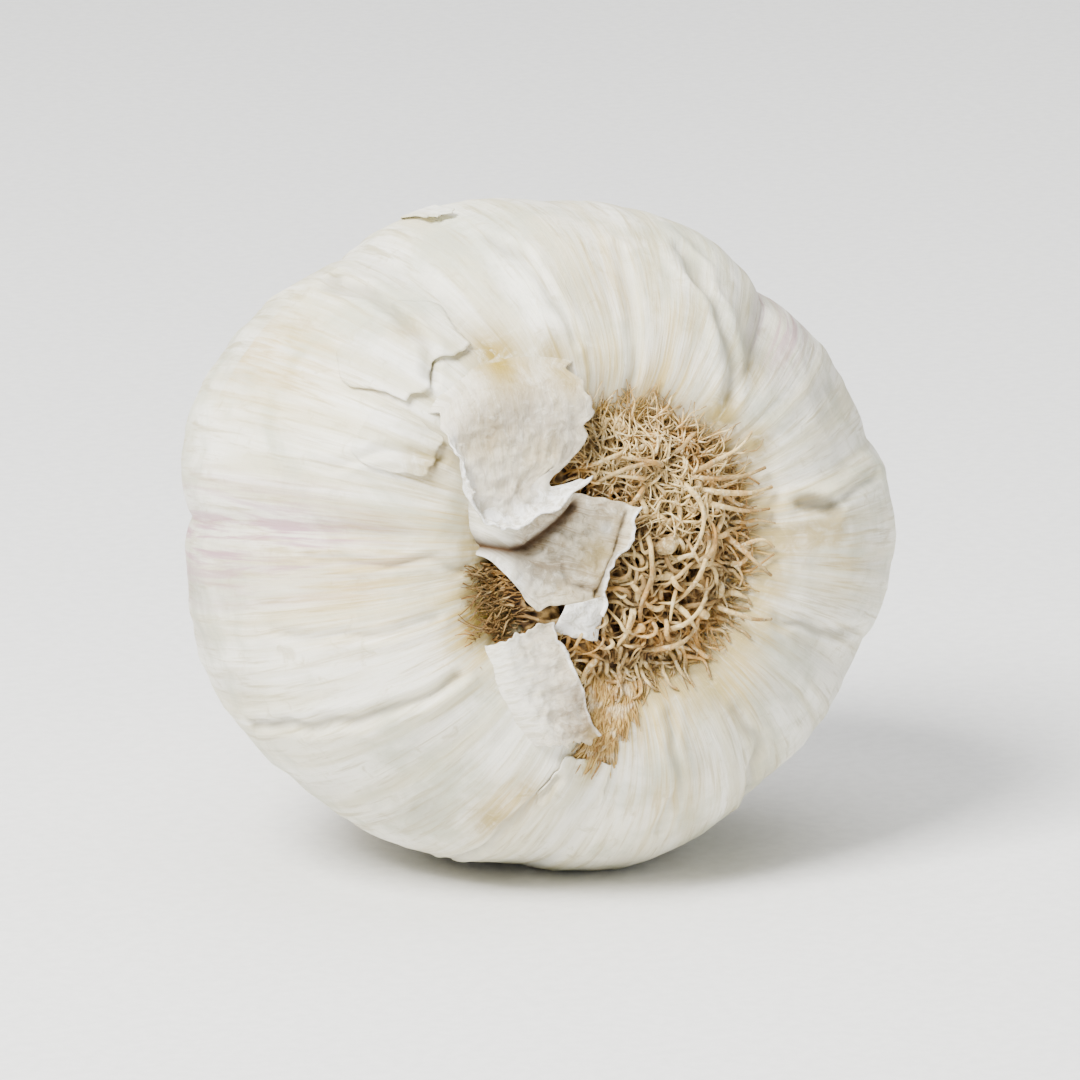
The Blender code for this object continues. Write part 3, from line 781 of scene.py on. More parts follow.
def make_flap(name, flap, seed):
    sheet, across, out = add_grid("torn_flap_" + name, FLAP_CELLS, FLAP_CELLS)
    points = flap_sheet(flap, *torn_shares(flap, across, out, seed))
    spots = points[:, :2].copy()
    outer = roll_lip_and_side(flap, points, across, out, seed)
    shape = np.column_stack((points[:, 0], -points[:, 2], points[:, 1]))
    shape[:, 1] -= flap_wave(flap, shape, out, seed)
    place_points(sheet, to_scene(shape))
    whites = spot_mask(spots, [(*spot, 1.0) for spot in flap["white"]])
    aged = np.maximum(flap["aged"] * smooth_step(*flap["aged_from"], out),
                      spot_mask(spots, flap["aged_spots"]))
    # Soil stain and painted shade along the valleys; they also cover the white outer side.
    soil_and_shade = np.zeros(len(out))
    for line, _, half_width, amount in flap["valleys"]:
        gap = distance_to_line(spots, line) / (1.1 * half_width)
        soil_and_shade = np.maximum(soil_and_shade, amount * np.exp(-(gap**2)))
    grain = np.column_stack((across * 10.0, out * 1.6, np.full(len(out), seed)))
    mark_flap(sheet, spots, grain, np.maximum(outer, 0.8 * whites) * (1 - soil_and_shade), aged, soil_and_shade)
    give_walls(sheet, SHEET_THICKNESS)
    return sheet


flaps = {name: make_flap(name, flap, 20.0 + 10 * k) for k, (name, flap) in enumerate(FLAPS.items())}
print("flaps:", {name: len(sheet.data.polygons) for name, sheet in flaps.items()})

# %% [markdown]
# Under the middle flap's lower edge a corner of skin has folded over and shows its white side.
# It is one more sheet, creased along a diagonal so that it catches the light.

# %% Fold: a white corner under the middle flap's edge
FOLD_CORNERS = ((-5.4, -4.2), (-1.7, -3.8), (-6.2, -6.4), (-2.6, -7.4))
FOLD_FRONT, FOLD_RIDGE = 20.0, 1.3
FOLD_OUTER = 0.85

skin_fold, across, out = add_grid("skin_fold", 30, 24)
corners = np.array(FOLD_CORNERS)
tear = out * (1 + 0.14 * noise_along(across * 6, 1.5, 17))
near = corners[0] + (corners[1] - corners[0]) * across[:, None]
far = corners[2] + (corners[3] - corners[2]) * across[:, None]
spots = near + (far - near) * tear[:, None]
crease = np.abs(across - 0.35 - 0.4 * out)
crumple = 0.35 * noise_at(np.column_stack((spots, out)), 1.1, 18)
front = FOLD_FRONT + FOLD_RIDGE * (0.5 - crease) - out**2 + crumple
place_points(skin_fold, to_scene(np.column_stack((spots[:, 0], -front, spots[:, 1]))))
nowhere = np.zeros(len(out))
mark_flap(skin_fold, spots, np.column_stack((across * 3, out, out)), nowhere + FOLD_OUTER,
          nowhere, nowhere)
give_walls(skin_fold, SHEET_THICKNESS)
print("fold:", len(skin_fold.data.polygons), "faces")

# %% [markdown]
# ## Inner skin, dried and torn
#
# Inside the bulb the skin is thinner and darker: grey-beige with a mauve cast, fibrous along
# the veins and blotched with tan where the roots' damp reached it. A torn, rolled edge shows
# its chalk-white outer side, and near the held edge the flap is as pale as the skin it joins.
# Its blotches are 3 to 4 mm wide and its flecks just under 1 mm.

# %% Material: torn inner skin
flap_material, tree, shader, (blotch, fleck, fibre) = new_material(
    "torn_inner_skin",
    place=((3.6, 5.0, 0.66, 0.6), (0.9, 5.0, 0.7, 0.8)), grain=((0.42, 4.0, 0.66, 0.5),))
sides = add_node(tree, "Attribute", {"attribute_name": "sides"}).outputs["Color"]
outer, aged, tan = add_node(tree, "SeparateColor", None, {"Color": sides}).outputs
soil_and_shade = add_node(tree, "Attribute", {"attribute_name": "soil_and_shade"}).outputs["Fac"]
pale = paint(tree, "#F4EFDF", ("#D6CFB8", (fibre, 0.42, 0.62, 0.0, 1.0)))
worn = paint(
    tree, "#E1D4B9",
    ("#AFA087", (blotch, 0.38, 0.62, 0.0, 1.0)),
    ("#F1E9D6", (fleck, 0.50, 0.66, 0.0, 0.8)),
    ("#8E7958", (fleck, 0.46, 0.34, 0.0, 0.7)),
    ("#8C7249", (fibre, 0.48, 0.36, 0.0, 0.6)))
white = paint(tree, "#FBF9F3", ("#C4BEAE", (fleck, 0.42, 0.62, 0.0, 1.0)))
colour = paint(
    tree, pale, (worn, aged), ("#A68C34", tan, (blotch, 0.22, 0.56, 0.0, 1.0)), (white, outer),
    # Soil stain, and painted shade in the crevices, from the valleys.
    ("#4F371C", soil_and_shade))
fill_sockets(tree, shader, {
    "Base Color": colour, "Roughness": 0.68, "Specular IOR Level": 0.3,
    "Subsurface Weight": 0.12, "Subsurface Radius": (1.0, 0.8, 0.6),
    "Subsurface Scale": 0.7 * MM,
    "Normal": relief(tree, 0.3, 0.85, (fleck, 0.6), (fibre, 0.5))})
for name, sheet in flaps.items():
    finish_with(sheet, flap_material, "inner_skin", "skin_flap_" + name)
finish_with(skin_fold, flap_material, "inner_skin")
print("inner skin material:", len(tree.nodes), "nodes")

# %% [markdown]
# ## Torn layers of the outer skin
#
# The outermost skin has split in places, and its torn edges stand a little off the layer below:
# a step left of the upper flap, a chip at the top, and more on the sides and at the back. Each
# is a grid laid on the skin's own surface by turn and distance. It starts sunk in the skin and
# rises to its torn end.

# %% Layers: torn sheets on the skin


def share_at_radius(radius):
    """The share of the profile's length at a radius of the root end's face."""
    on_face = LINE[:, 0] < -2.0
    return np.interp(radius, LINE[on_face, 1], LENGTH[on_face]) / LENGTH[-1]


def share_at_along(along):
    """The share of the profile's length at a distance along the bulb's back."""
    back = (LINE[:, 0] > 0.0) & (LENGTH < LENGTH[-4])
    return np.interp(along, LINE[back, 0], LENGTH[back]) / LENGTH[-1]


# Each layer: the turn in its middle and its span in degrees, its sunk end and its torn end as
# shares of the line down the skin, the lift at its torn end, and the lift on one side.
LAYER_THICKNESS, LAYER_CELLS = 0.12, 40
LAYERS = (
    (131.0, 26.0, share_at_radius(27.0), share_at_radius(20.6), 0.35, 0.1),
    (150.0, 16.0, share_at_radius(23.5), share_at_radius(17.4), 0.3, 0.1),
    (105.0, 6.0, share_at_along(4.0), share_at_radius(28.8), 0.5, 0.1),
    (258.0, 16.0, share_at_radius(24.0), share_at_radius(18.0), 0.3, 0.2),
    (28.0, 22.0, share_at_along(2.0), share_at_along(13.0), 0.4, 0.2),
    (75.0, 26.0, share_at_along(6.0), share_at_along(19.0), 0.45, 0.2),
    (140.0, 20.0, share_at_along(4.0), share_at_along(15.0), 0.4, 0.3),
    (196.0, 18.0, share_at_along(8.0), share_at_along(20.0), 0.4, 0.2),
    (325.0, 20.0, share_at_along(5.0), share_at_along(17.0), 0.4, 0.2),
)


def make_layer(index, middle, span, sunk, torn, lift, side_lift):
    sheet, across, out = add_grid(f"torn_layer_{index + 1}", LAYER_CELLS, LAYER_CELLS)
    seed = 90.0 + 4 * index
    tear = 1 + 0.12 * noise_along(across * 10, 3.0, seed)
    tear = tear + 0.03 * noise_along(across * 10, 1.0, seed)
    edge = 1 + 0.18 * noise_along(out * 8, 2.6, seed + 2) + 0.05 * noise_along(out * 8, 0.9, seed)
    share = sunk + (torn - sunk) * out * tear
    narrowing = (0.25 + 0.75 * smooth_step(-0.1, 0.5, out)) * (1 - 0.25 * out)
    turn = np.radians(middle + span * (across - 0.5) * edge * narrowing)
    under = skin_relief(share, turn)
    rise = -0.35 + 0.55 * smooth_step(0.0, 0.4, out) + lift * out**3
    rise = rise + side_lift * smooth_step(0.55, 1.0, across) * smooth_step(0.2, 0.8, out)
    rise = rise + 0.1 * noise_at(np.column_stack((across * 8, out * 8, share)), 1.3, seed)
    place_points(sheet, to_scene(skin_surface(share, turn, under + rise)))
    mark_skin(sheet, share, turn, under)
    give_walls(sheet, LAYER_THICKNESS)
    finish_with(sheet, skin_material, "skin")
    return sheet


layers = [make_layer(k, *sizes) for k, sizes in enumerate(LAYERS)]
print("layers:", len(layers), "of", len(layers[0].data.polygons), "faces")

# %% [markdown]
# ## The root plate
#
# Under the roots lies the plate that they grow from: a low woody dome with a crust of old root
# stubs and soil. It is a flattened sphere whose front is raised in ridges by noise. The ridges
# reach up between the roots and are pale, and the pits between them are dark.

# %% Plate: a rough dome under the roots
PLATE_RADIUS, PLATE_FRONT, PLATE_BACK = 9.9, 18.5, 15.8
CRUST_SIZE, CRUST_HEIGHT = 1.5, 1.2

root_plate, dome = add_sphere("root_plate", 220, 160)
dome_radius = np.hypot(dome[:, 0], dome[:, 1])
middle_front = (PLATE_FRONT + PLATE_BACK) / 2
half_depth = (PLATE_FRONT - PLATE_BACK) / 2
bulge = np.sign(dome[:, 2]) * (1 - dome_radius**4).clip(0) ** 0.5
plate = np.column_stack((dome[:, 0] * PLATE_RADIUS, -middle_front - half_depth * bulge,
                         dome[:, 1] * PLATE_RADIUS))
ridge = 1 - np.abs(noise_at(plate * (1, 0.3, 1), CRUST_SIZE, 50)) / 0.4
crumb = noise_at(plate, 0.5, 51)
crust = (ridge.clip(0, 1) + 0.25 * crumb) * (dome[:, 2] > 0)
plate[:, 1] -= CRUST_HEIGHT * (crust - 0.45) * (dome[:, 2] > 0) * (1 - dome_radius**8)
place_points(root_plate, to_scene(plate))
give_attribute(root_plate, "crust", "FLOAT", crust.clip(0, 1))
bpy.ops.object.shade_smooth()
print("plate:", len(root_plate.data.polygons), "faces")

# %% [markdown]
# ## The mat of dried roots
#
# Hundreds of dried roots curl over the plate and each other. A bevelled curve is the natural
# way to make one: a line through a few points, with a radius at each that tapers to the tip.
# All the lines go in one curve object, and converting it gives the mesh. Inner roots are short
# tight curls, outer ones lie down across the rim, fine ones cover the top, and a few long pale
# ones cross them all. A fixed seed keeps the tangle the same on each run.

# %% Roots: what they lie on and under
ROOT_SUNK, ROOT_CLEAR, ROOT_UNDER_FLAP = 0.5, 0.12, 0.45
ROOT_POINTS = 6
FLAP_AREAS = []
for flap in FLAPS.values():
    steps = np.meshgrid(np.linspace(0, 1, 14), np.linspace(0.1, 0.98, 16))
    FLAP_AREAS.append(flap_sheet(flap, steps[0].ravel(), steps[1].ravel()))
FLAP_AREAS = np.vstack(FLAP_AREAS)


def flap_over(right, up, margin=0.9):
    """The lowest flap over a point of the face, or None where the face is open."""
    close = np.hypot(FLAP_AREAS[:, 0] - right, FLAP_AREAS[:, 1] - up) < margin
    return float(FLAP_AREAS[close, 2].min()) if close.any() else None


def floor_under(right, up):
    """What a root lies on at points of the face: the plate's dome, or the skin beyond it."""
    reach = np.hypot(right, up) / PLATE_RADIUS
    dome = middle_front + half_depth * np.sqrt(np.clip(1 - reach**4, 0, 1))
    return np.where(reach < 1.0, np.maximum(skin_front(right, up), dome), skin_front(right, up))


def inside_mat(right, up, grow=1.0):
    x, y = (right - MAT_MIDDLE[0]) / MAT_REACH[0], (up - MAT_MIDDLE[1]) / MAT_REACH[1]
    return math.hypot(x, y) < grow


print("a flap over (-6, 0) lies at", flap_over(-6.0, 0.0), "mm, and the plate below at",
      round(float(floor_under(-6.0, 0.0)), 2), "mm")

# %% Roots: the line of one


def strand_line(rng, right, up, heading, curl, length, arch, thick, wiggle=0.45):
    """Points and radii of one root, from its start in the plate to its tip."""
    points, radii = [], []
    stride = length / (ROOT_POINTS - 1)
    for step in range(ROOT_POINTS):
        share = step / (ROOT_POINTS - 1)
        if step:
            turn = heading + curl * share + rng.uniform(-wiggle, wiggle)
            right += stride * math.cos(turn)
            up += stride * math.sin(turn)
        radius = thick * (1.0 - 0.5 * share) * rng.uniform(0.65, 1.3)
        lift = arch * math.sin(math.pi * min(1.0, 0.15 + 0.8 * share)) + rng.uniform(-0.1, 0.1)
        ground = float(floor_under(right, up))
        front = ground + radius + ROOT_CLEAR + max(0.0, lift) if step else ground - ROOT_SUNK
        over = flap_over(right, up)
        if over is not None:
            front = min(front, over - radius - ROOT_UNDER_FLAP)
        points.append((right, -front, up))
        radii.append(radius)
    return points, radii


# %% Roots: the tangle, and the fine ones at the top
# The mat is painted darker beside the middle flap's free edge, as painted shade.
FLAP_SHADE, FLAP_SHADE_WIDTH = ((2.4, 2.6), (1.2, -1.4), (-1.0, -6.0)), 1.6
GOLDEN_ANGLE = math.radians(137.508)
TANGLE_TRIES, TANGLE_REACH = 900, 10.4
TOP_TRIES = 760


def tangle(rng):
    """Curled roots from all over the plate, as (points, radii, tone).

    The tone runs from dark brown at or below 0 to pale gold at 1 and over.
    """
    strands = []
    for index in range(TANGLE_TRIES):
        share = (index + 0.5) / TANGLE_TRIES
        start = TANGLE_REACH * math.sqrt(share)
        turn = index * GOLDEN_ANGLE
        right, up = start * math.cos(turn), start * math.sin(turn)
        hidden = flap_over(right, up) is not None and rng.random() < 0.75
        left_rim = right < -5.2 and -9.5 < up < 3.0
        if hidden or left_rim or not inside_mat(right, up, 0.97):
            continue
        outer = share > 0.5
        heading = turn + rng.uniform(-0.9, 0.9) if outer else turn + rng.uniform(-2.4, 2.4)
        curl = rng.uniform(-1.6, 1.6) if outer else rng.choice((-1, 1)) * rng.uniform(0.8, 3.6)
        length = rng.uniform(1.8, 4.4) if outer else rng.uniform(2.4, 5.4)
        arch = rng.uniform(0.0, 0.9) if outer else rng.uniform(0.1, 1.5)
        thick = rng.choice((rng.uniform(0.06, 0.12), rng.uniform(0.12, 0.2),
                            rng.uniform(0.18, 0.3)))
        line = strand_line(rng, right, up, heading, curl, length, arch, thick, 0.6)
        if not inside_mat(line[0][-1][0], line[0][-1][2], 1.06):
            continue
        # Painted shade: roots beside the middle flap's free edge get a darker tone.
        shade = distance_to_line([(right, up)], FLAP_SHADE)[0] / FLAP_SHADE_WIDTH
        tone = rng.uniform(0.0, 0.7) + 0.4 * (up > 2.0) - 0.6 * (right > 4.0 and up < 2.5)
        strands.append((*line, tone - 0.8 * math.exp(-(shade**2))))
    return strands


def top_strands(rng):
    """Fine pale roots that cover the upper half of the mat."""
    strands = []
    for _ in range(TOP_TRIES):
        right, up = rng.uniform(-3.0, 9.5), rng.uniform(1.5, 9.2)
        if flap_over(right, up) is None and inside_mat(right, up, 0.98):
            line = strand_line(rng, right, up, rng.uniform(0, 2 * math.pi), rng.uniform(-1.5, 1.5),
                               rng.uniform(2.0, 4.5), rng.uniform(0.4, 1.7),
                               rng.uniform(0.05, 0.12), 0.5)
            strands.append((*line, rng.uniform(1.1, 1.9)))
    return strands


# %% Roots: the long ones, the stubs, and the bristles at the left
# Each long root is listed with its start (right, up), heading in degrees, curl, length and
# thickness.
LONG_ROOTS = (
    (5.2, 5.4, -35, -1.5, 8.5, 0.30), (7.9, 1.6, -88, -0.9, 8.0, 0.28),
    (5.6, 5.2, -12, 0.4, 7.5, 0.26), (5.8, 5.0, 8, 0.5, 7.0, 0.28),
    (6.4, 4.2, -24, 0.6, 7.2, 0.26), (6.8, 3.0, -30, 0.5, 6.6, 0.24),
    (4.8, 5.8, 150, 0.5, 6.5, 0.26), (4.2, 6.2, 165, 0.9, 7.0, 0.24),
    (3.4, 5.2, 190, -0.7, 6.0, 0.26), (1.6, 7.6, 178, 0.5, 5.5, 0.22),
    (5.0, 6.6, 60, -0.9, 3.6, 0.26), (8.0, -5.4, -50, 0.9, 5.0, 0.26),
    (3.0, -7.4, 12, 0.9, 6.5, 0.28), (1.8, -8.6, -8, 1.0, 6.0, 0.24),
    (9.4, 0.4, -62, 0.5, 5.4, 0.24), (2.6, 1.4, 238, 0.9, 6.0, 0.26),
    (3.2, -1.6, 200, 1.4, 5.6, 0.28), (6.2, -2.2, 20, 1.5, 5.2, 0.26),
)
STUBS = ((3.4, -0.5, 20, 1.7, 0.8), (6.2, 2.0, 60, 1.4, 0.5), (1.6, -6.6, 200, 1.2, 0.5),
         (6.6, -5.8, -40, 1.4, 0.55), (2.6, 5.6, 100, 1.2, 0.45))
BRISTLES = 260


def long_roots(rng):
    strands = []
    for right, up, heading, curl, length, thick in LONG_ROOTS:
        line = strand_line(rng, right, up, math.radians(heading), curl, length,
                           rng.uniform(1.7, 2.3), thick, 0.12)
        strands.append((*line, rng.uniform(0.85, 1.0)))
    for right, up, heading, length, thick in STUBS:
        line = strand_line(rng, right, up, math.radians(heading), 0.2, length, 0.6, thick, 0.1)
        strands.append((*line, 0.8))
    return strands


def bristles(rng):
    """Short stiff roots at the mat's left rim, below the middle flap."""
    strands = []
    for _ in range(BRISTLES):
        up = rng.uniform(-7.4, -0.6)
        right = rng.uniform(-10.8, -7.2) - 0.12 * abs(up + 4.0)
        line = strand_line(rng, right, up, math.radians(rng.uniform(150, 225)),
                           rng.uniform(-0.6, 0.6), 0.8 + 3.2 * rng.random() ** 2,
                           rng.uniform(0, 0.4), rng.uniform(0.04, 0.11))
        strands.append((*line, rng.uniform(-0.4, 1.0)))
    return strands


# %% Strands: one mesh of many tapering roots


def strands_object(name, strands, bevel_steps):
    """One mesh of tapering round strands, made as bevelled curves, with their tones."""
    data = bpy.data.curves.new(name, "CURVE")
    data.dimensions = "3D"
    data.bevel_depth = MM
    data.bevel_resolution = bevel_steps
    data.use_fill_caps = True
    for points, radii, _ in strands:
        spline = data.splines.new("NURBS")
        spline.points.add(len(points) - 1)
        spline.order_u = 3
        spline.use_endpoint_u = True
        spline.resolution_u = 2
        for point, place, radius in zip(spline.points, to_scene(points), radii):
            point.co = (*place, 1.0)
            point.radius = radius
    obj = bpy.data.objects.new(name, data)
    bpy.context.scene.collection.objects.link(obj)
    deselect_all()
    obj.select_set(True)
    bpy.context.view_layer.objects.active = obj
    bpy.ops.object.convert(target="MESH")
    obj = bpy.context.object
    bpy.ops.object.shade_smooth()
    each, left_over = divmod(len(obj.data.vertices), len(strands))
    print(name, len(strands), "strands of", each, "points,", left_over, "left over,",
          len(obj.data.polygons), "faces")
    right, back, up = from_scene(points_of(obj)).T
    height = -back - floor_under(right, up)
    # Blue, the height over the floor, is painted as shade low down and light high up.
    give_attribute(obj, "tone", "FLOAT_COLOR", np.column_stack((
        np.repeat([tone for _, _, tone in strands], each),
        np.tile(np.linspace(0, 1, each), len(strands)),
        smooth_step(0.0, 1.6, height), np.ones(len(height)))))
    return obj


root_draws, long_draws = random.Random(41), random.Random(42)
root_mat = strands_object("root_mat", tangle(root_draws) + top_strands(root_draws)
                          + long_roots(long_draws) + bristles(long_draws), 1)

# %% [markdown]
# ## Dried roots
#
# A garlic root dries to a wrinkled straw-brown thread, golden where it was outside, with darker
# patches of soil. Each root carries its own tone, its share from start to tip and its height
# over the plate in one attribute. The height paints light and shade: roots deep in the tangle are
# painted dark brown as shade, raised ones pale as if lit, with painted highlights on wrinkles.

# %% Material: dried roots
root_material, tree, shader, (wrinkle, soil_and_shade, golden) = new_material(
    "dried_garlic_root",
    place=((0.4, 4.0, 0.68, 0.5), (2.2, 4.0, 0.6, 0.0), (4.0, 2.0, 0.5, 0.0)))
tones = add_node(tree, "Attribute", {"attribute_name": "tone"}).outputs["Color"]
tone, to_tip, height = add_node(tree, "SeparateColor", None, {"Color": tones}).outputs
bright = add_node(tree, "Math", ADD_UP, {0: tone, 1: 0.6, 2: 0.5}).outputs[0]
# Painted light and shade: deep roots stay dark brown, raised ones are painted pale.
height_shade_and_light = add_node(tree, "Math", MULTIPLY, {0: height, 1: bright}).outputs[0]
colour = paint(
    tree, "#6E4D22",
    ("#E8C987", height_shade_and_light),
    ("#C58E3C", (golden, 0.48, 0.64, 0.0, 0.6)),
    ("#6A4C2B", (soil_and_shade, 0.46, 0.66, 0.0, 0.6)),
    # A painted highlight on the wrinkles of raised roots.
    ("#F4E5BC", height_shade_and_light, (wrinkle, 0.47, 0.66, 0.0, 0.75)),
    ("#C2924A", (to_tip, 0.75, 1.0, 0.0, 0.45)))
fill_sockets(tree, shader, {
    "Base Color": colour, "Roughness": 0.8, "Specular IOR Level": 0.3,
    "Normal": relief(tree, 0.3, 1.0, (wrinkle, 1.0))})
finish_with(root_mat, root_material, "roots", "roots")
print("root material:", len(tree.nodes), "nodes")

# %% Material: the plate's woody crust
plate_material, tree, shader, (pith,) = new_material(
    "dried_root_plate", place=((0.7, 4.0, 0.65, 0.0),))
ridges = add_node(tree, "Attribute", {"attribute_name": "crust"}).outputs["Fac"]
colour = paint(tree, "#3B2915", ("#D0A968", (ridges, 0.45, 0.95, 0.0, 1.0)),
               ("#6E5130", (pith, 0.40, 0.65, 0.0, 0.7)))
fill_sockets(tree, shader, {
    "Base Color": colour, "Roughness": 0.9, "Normal": relief(tree, 0.3, 0.8, (pith, 1.0))})
finish_with(root_plate, plate_material, "roots", "roots")
print("plate material:", len(tree.nodes), "nodes")

# %% [markdown]
# ## Fibres at the mat's rim
#
# Where the skins end at the plate they fray into fine golden fibres, and a brush of them trails
# down below the lower flap. They are the same kind of strand as the roots, thinner and straight,
# with only four sides, because they are seen as hair.

# %% Fibres: a fringe round the mat and a brush below it
FIBRE_STEPS = 4
FRINGE_TRIES, FRINGE_RADII = 2200, (8.4, 11.4)
BRUSH_FIBRES, BRUSH_TOP, BRUSH_END = 1300, (-0.2, -9.0), (-2.9, -16.0)
BRUSH_HALF_TOP, BRUSH_HALF_END = 2.6, 1.0


def fibre_line(rng, right, up, heading, length, thick):
    points, radii = [], []
    for step in range(FIBRE_STEPS + 1):
        share = step / FIBRE_STEPS
        if step:
            turn = heading + rng.uniform(-0.3, 0.3)
            right += length / FIBRE_STEPS * math.cos(turn)
            up += length / FIBRE_STEPS * math.sin(turn)
        lift = 0.08 + rng.uniform(0.0, 0.5) * math.sin(math.pi * min(1.0, 0.1 + share))
        points.append((right, -float(skin_front(right, up)) - lift, up))
        radii.append(thick * (1 - 0.6 * share))
    return points, radii


def fringe(rng):
    """Fine fibres in clumps, all round the mat but not under a flap."""
    fibres = []
    for _ in range(FRINGE_TRIES):
        turn = rng.uniform(0, 2 * math.pi)
        start = rng.uniform(*FRINGE_RADII)
        right, up = start * math.cos(turn), start * math.sin(turn)
        clump = noise.noise(Vector((right / 2.2, up / 2.2, 7)))
        if clump < -0.12 - 0.1 * (up > 3.0) or flap_over(right, up, 1.3) is not None:
            continue
        line = fibre_line(rng, right, up, turn + rng.uniform(-1.3, 1.3), rng.uniform(0.8, 2.4),
                          rng.uniform(0.04, 0.11))
        fibres.append((*line, rng.uniform(0.4, 1.0)))
    return fibres


def brush(rng):
    """Fibres that trail down from the mat beside the lower flap, narrower to the end."""
    fibres = []
    for _ in range(BRUSH_FIBRES):
        down = rng.random() ** 1.2
        half = BRUSH_HALF_TOP * (1 - down) + BRUSH_HALF_END * down
        right = BRUSH_TOP[0] + (BRUSH_END[0] - BRUSH_TOP[0]) * down + rng.uniform(-half, half)
        up = BRUSH_TOP[1] + (BRUSH_END[1] - BRUSH_TOP[1]) * down
        line = fibre_line(rng, right, up, math.radians(rng.uniform(-138, -78)),
                          rng.uniform(1.0, 2.8), rng.uniform(0.06, 0.17))
        fibres.append((*line, rng.uniform(0.0, 0.8)))
    return fibres


fibre_draws = random.Random(7)
skin_fibres = strands_object("skin_fibres", fringe(fibre_draws) + brush(fibre_draws), 0)

# %% Material: frayed skin fibre
# Fibres are golden where the sap dried in them, and paler in patches of about 1 mm.
fibre_material, tree, shader, (patch,) = new_material(
    "frayed_skin_fibre", place=((1.2, 3.0, 0.55, 0.0),))
tones = add_node(tree, "Attribute", {"attribute_name": "tone"}).outputs["Color"]
tone = add_node(tree, "SeparateColor", None, {"Color": tones}).outputs[0]
colour = paint(tree, "#866026", ("#CDAD64", tone), ("#E6D6B2", (patch, 0.5, 0.7, 0.0, 0.6)))
fill_sockets(tree, shader, {"Base Color": colour, "Roughness": 0.7})
finish_with(skin_fibres, fibre_material, "roots")
print("fibre material:", len(tree.nodes), "nodes")

# %% [markdown]
# ## The cut stem
#
# The stem is rolled from dried leaf sheaths, so it is ribbed along its length, and it was cut
# square, which shows its rings and the hollow that its middle dried to. It is one more sphere
# whose points slide to their places, along a line from the middle of its foot, up its outside,
# over the cut and down into the hollow. Its axis bends with the neck.

# %% Stem: ribbed tube with a hollow end
STEM_START, STEM_END = 28.35, 49.0
STEM_RADIUS, STEM_TAPER = 4.1, 0.003
# Each rib: how many go round, height, start in radians, and twist along the stem.
STEM_RIBS = ((6, 0.17, 0.0, 0.03), (11, 0.1, 1.0, 0.0), (29, 0.07, 0.4, 0.05))
# The line down the stem, as shares of its length and of its radius.
STEM_LINE = ((0.0, 0.0), (0.0, 1.0), (1.0, 1.0), (1.006, 0.93), (1.004, 0.66), (0.997, 0.60),
             (0.999, 0.42), (0.985, 0.36), (0.86, 0.31), (0.82, 0.0))
BARK_HEIGHT, SAW_MARKS = 0.09, 0.16

stem_stalk, unit = add_sphere("stem_stalk", 180, 120)
stem_share, turn = share_and_turn(unit)
stem_line = np.array(STEM_LINE)
stem_runs = np.diff(stem_line * (STEM_END - STEM_START, STEM_RADIUS), axis=0)
stem_length = np.concatenate(([0.0], np.cumsum(np.hypot(*stem_runs.T))))
at = stem_share * stem_length[-1]
share = np.interp(at, stem_length, stem_line[:, 0])
out = np.interp(at, stem_length, stem_line[:, 1])
along = STEM_START + (STEM_END - STEM_START) * share
ribs = sum(high * np.cos(waves * turn + start + twist * along)
           for waves, high, start, twist in STEM_RIBS)
round_stem = np.column_stack((4 * np.cos(turn), 4 * np.sin(turn)))
bark = BARK_HEIGHT * noise_at(np.column_stack((round_stem, along / 9.0)), 0.5, 60)
reach = out * (STEM_RADIUS * (1 - STEM_TAPER * (along - STEM_START)) + ribs + bark)
cut = np.column_stack((out[:, None] * round_stem, np.zeros(len(out))))
saw = SAW_MARKS * noise_at(cut, 0.7, 61) * (share > 0.98)
bend_right, bend_up = axis_offset(along)
place_points(stem_stalk, to_scene(np.column_stack((
    reach * np.cos(turn) + bend_right, along + saw, reach * np.sin(turn) + bend_up))))
give_attribute(stem_stalk, "grain", "FLOAT_VECTOR", np.column_stack((round_stem, along / 14.0)))
give_attribute(stem_stalk, "inside", "FLOAT", smooth_step(0.999, 0.94, out) * (share > 0.8))
bpy.ops.object.shade_smooth()
print("stem:", len(stem_stalk.data.polygons), "faces")

# %% [markdown]
# ## Tatters at the neck
#
# The outer skins end round the stem in dry tatters. Each is a narrow grid wrapped on the neck,
# with a ragged end that stands off the stem a little. They are modelled once as a function and
# laid at several turns, each with its own mesh.

# %% Tatters: narrow torn strips round the stem's foot
# Each tatter: its turn in degrees, how far it reaches past the neck, its width, and how far its
# end stands off the stem.
TATTERS = ((20, 6.4, 5.0, 0.5), (75, 4.2, 4.0, 0.9), (128, 7.2, 5.6, 0.4), (190, 5.2, 4.4, 0.8),
           (238, 6.0, 5.2, 0.6), (300, 4.4, 4.6, 1.0), (338, 5.4, 3.8, 0.7))
NECK_END = 32.5
TATTER_STARTS, TATTER_START_SPREAD = 25.6, 2.6
GOLDEN_SHARE = 0.618
# The radius of what a tatter lies on, at distances along the neck and the stem.
NECK_ALONG, NECK_RADIUS = (25.0, 27.0, 33.0, 36.0, 50.0), (9.0, 7.45, 6.15, 5.0, 4.5)


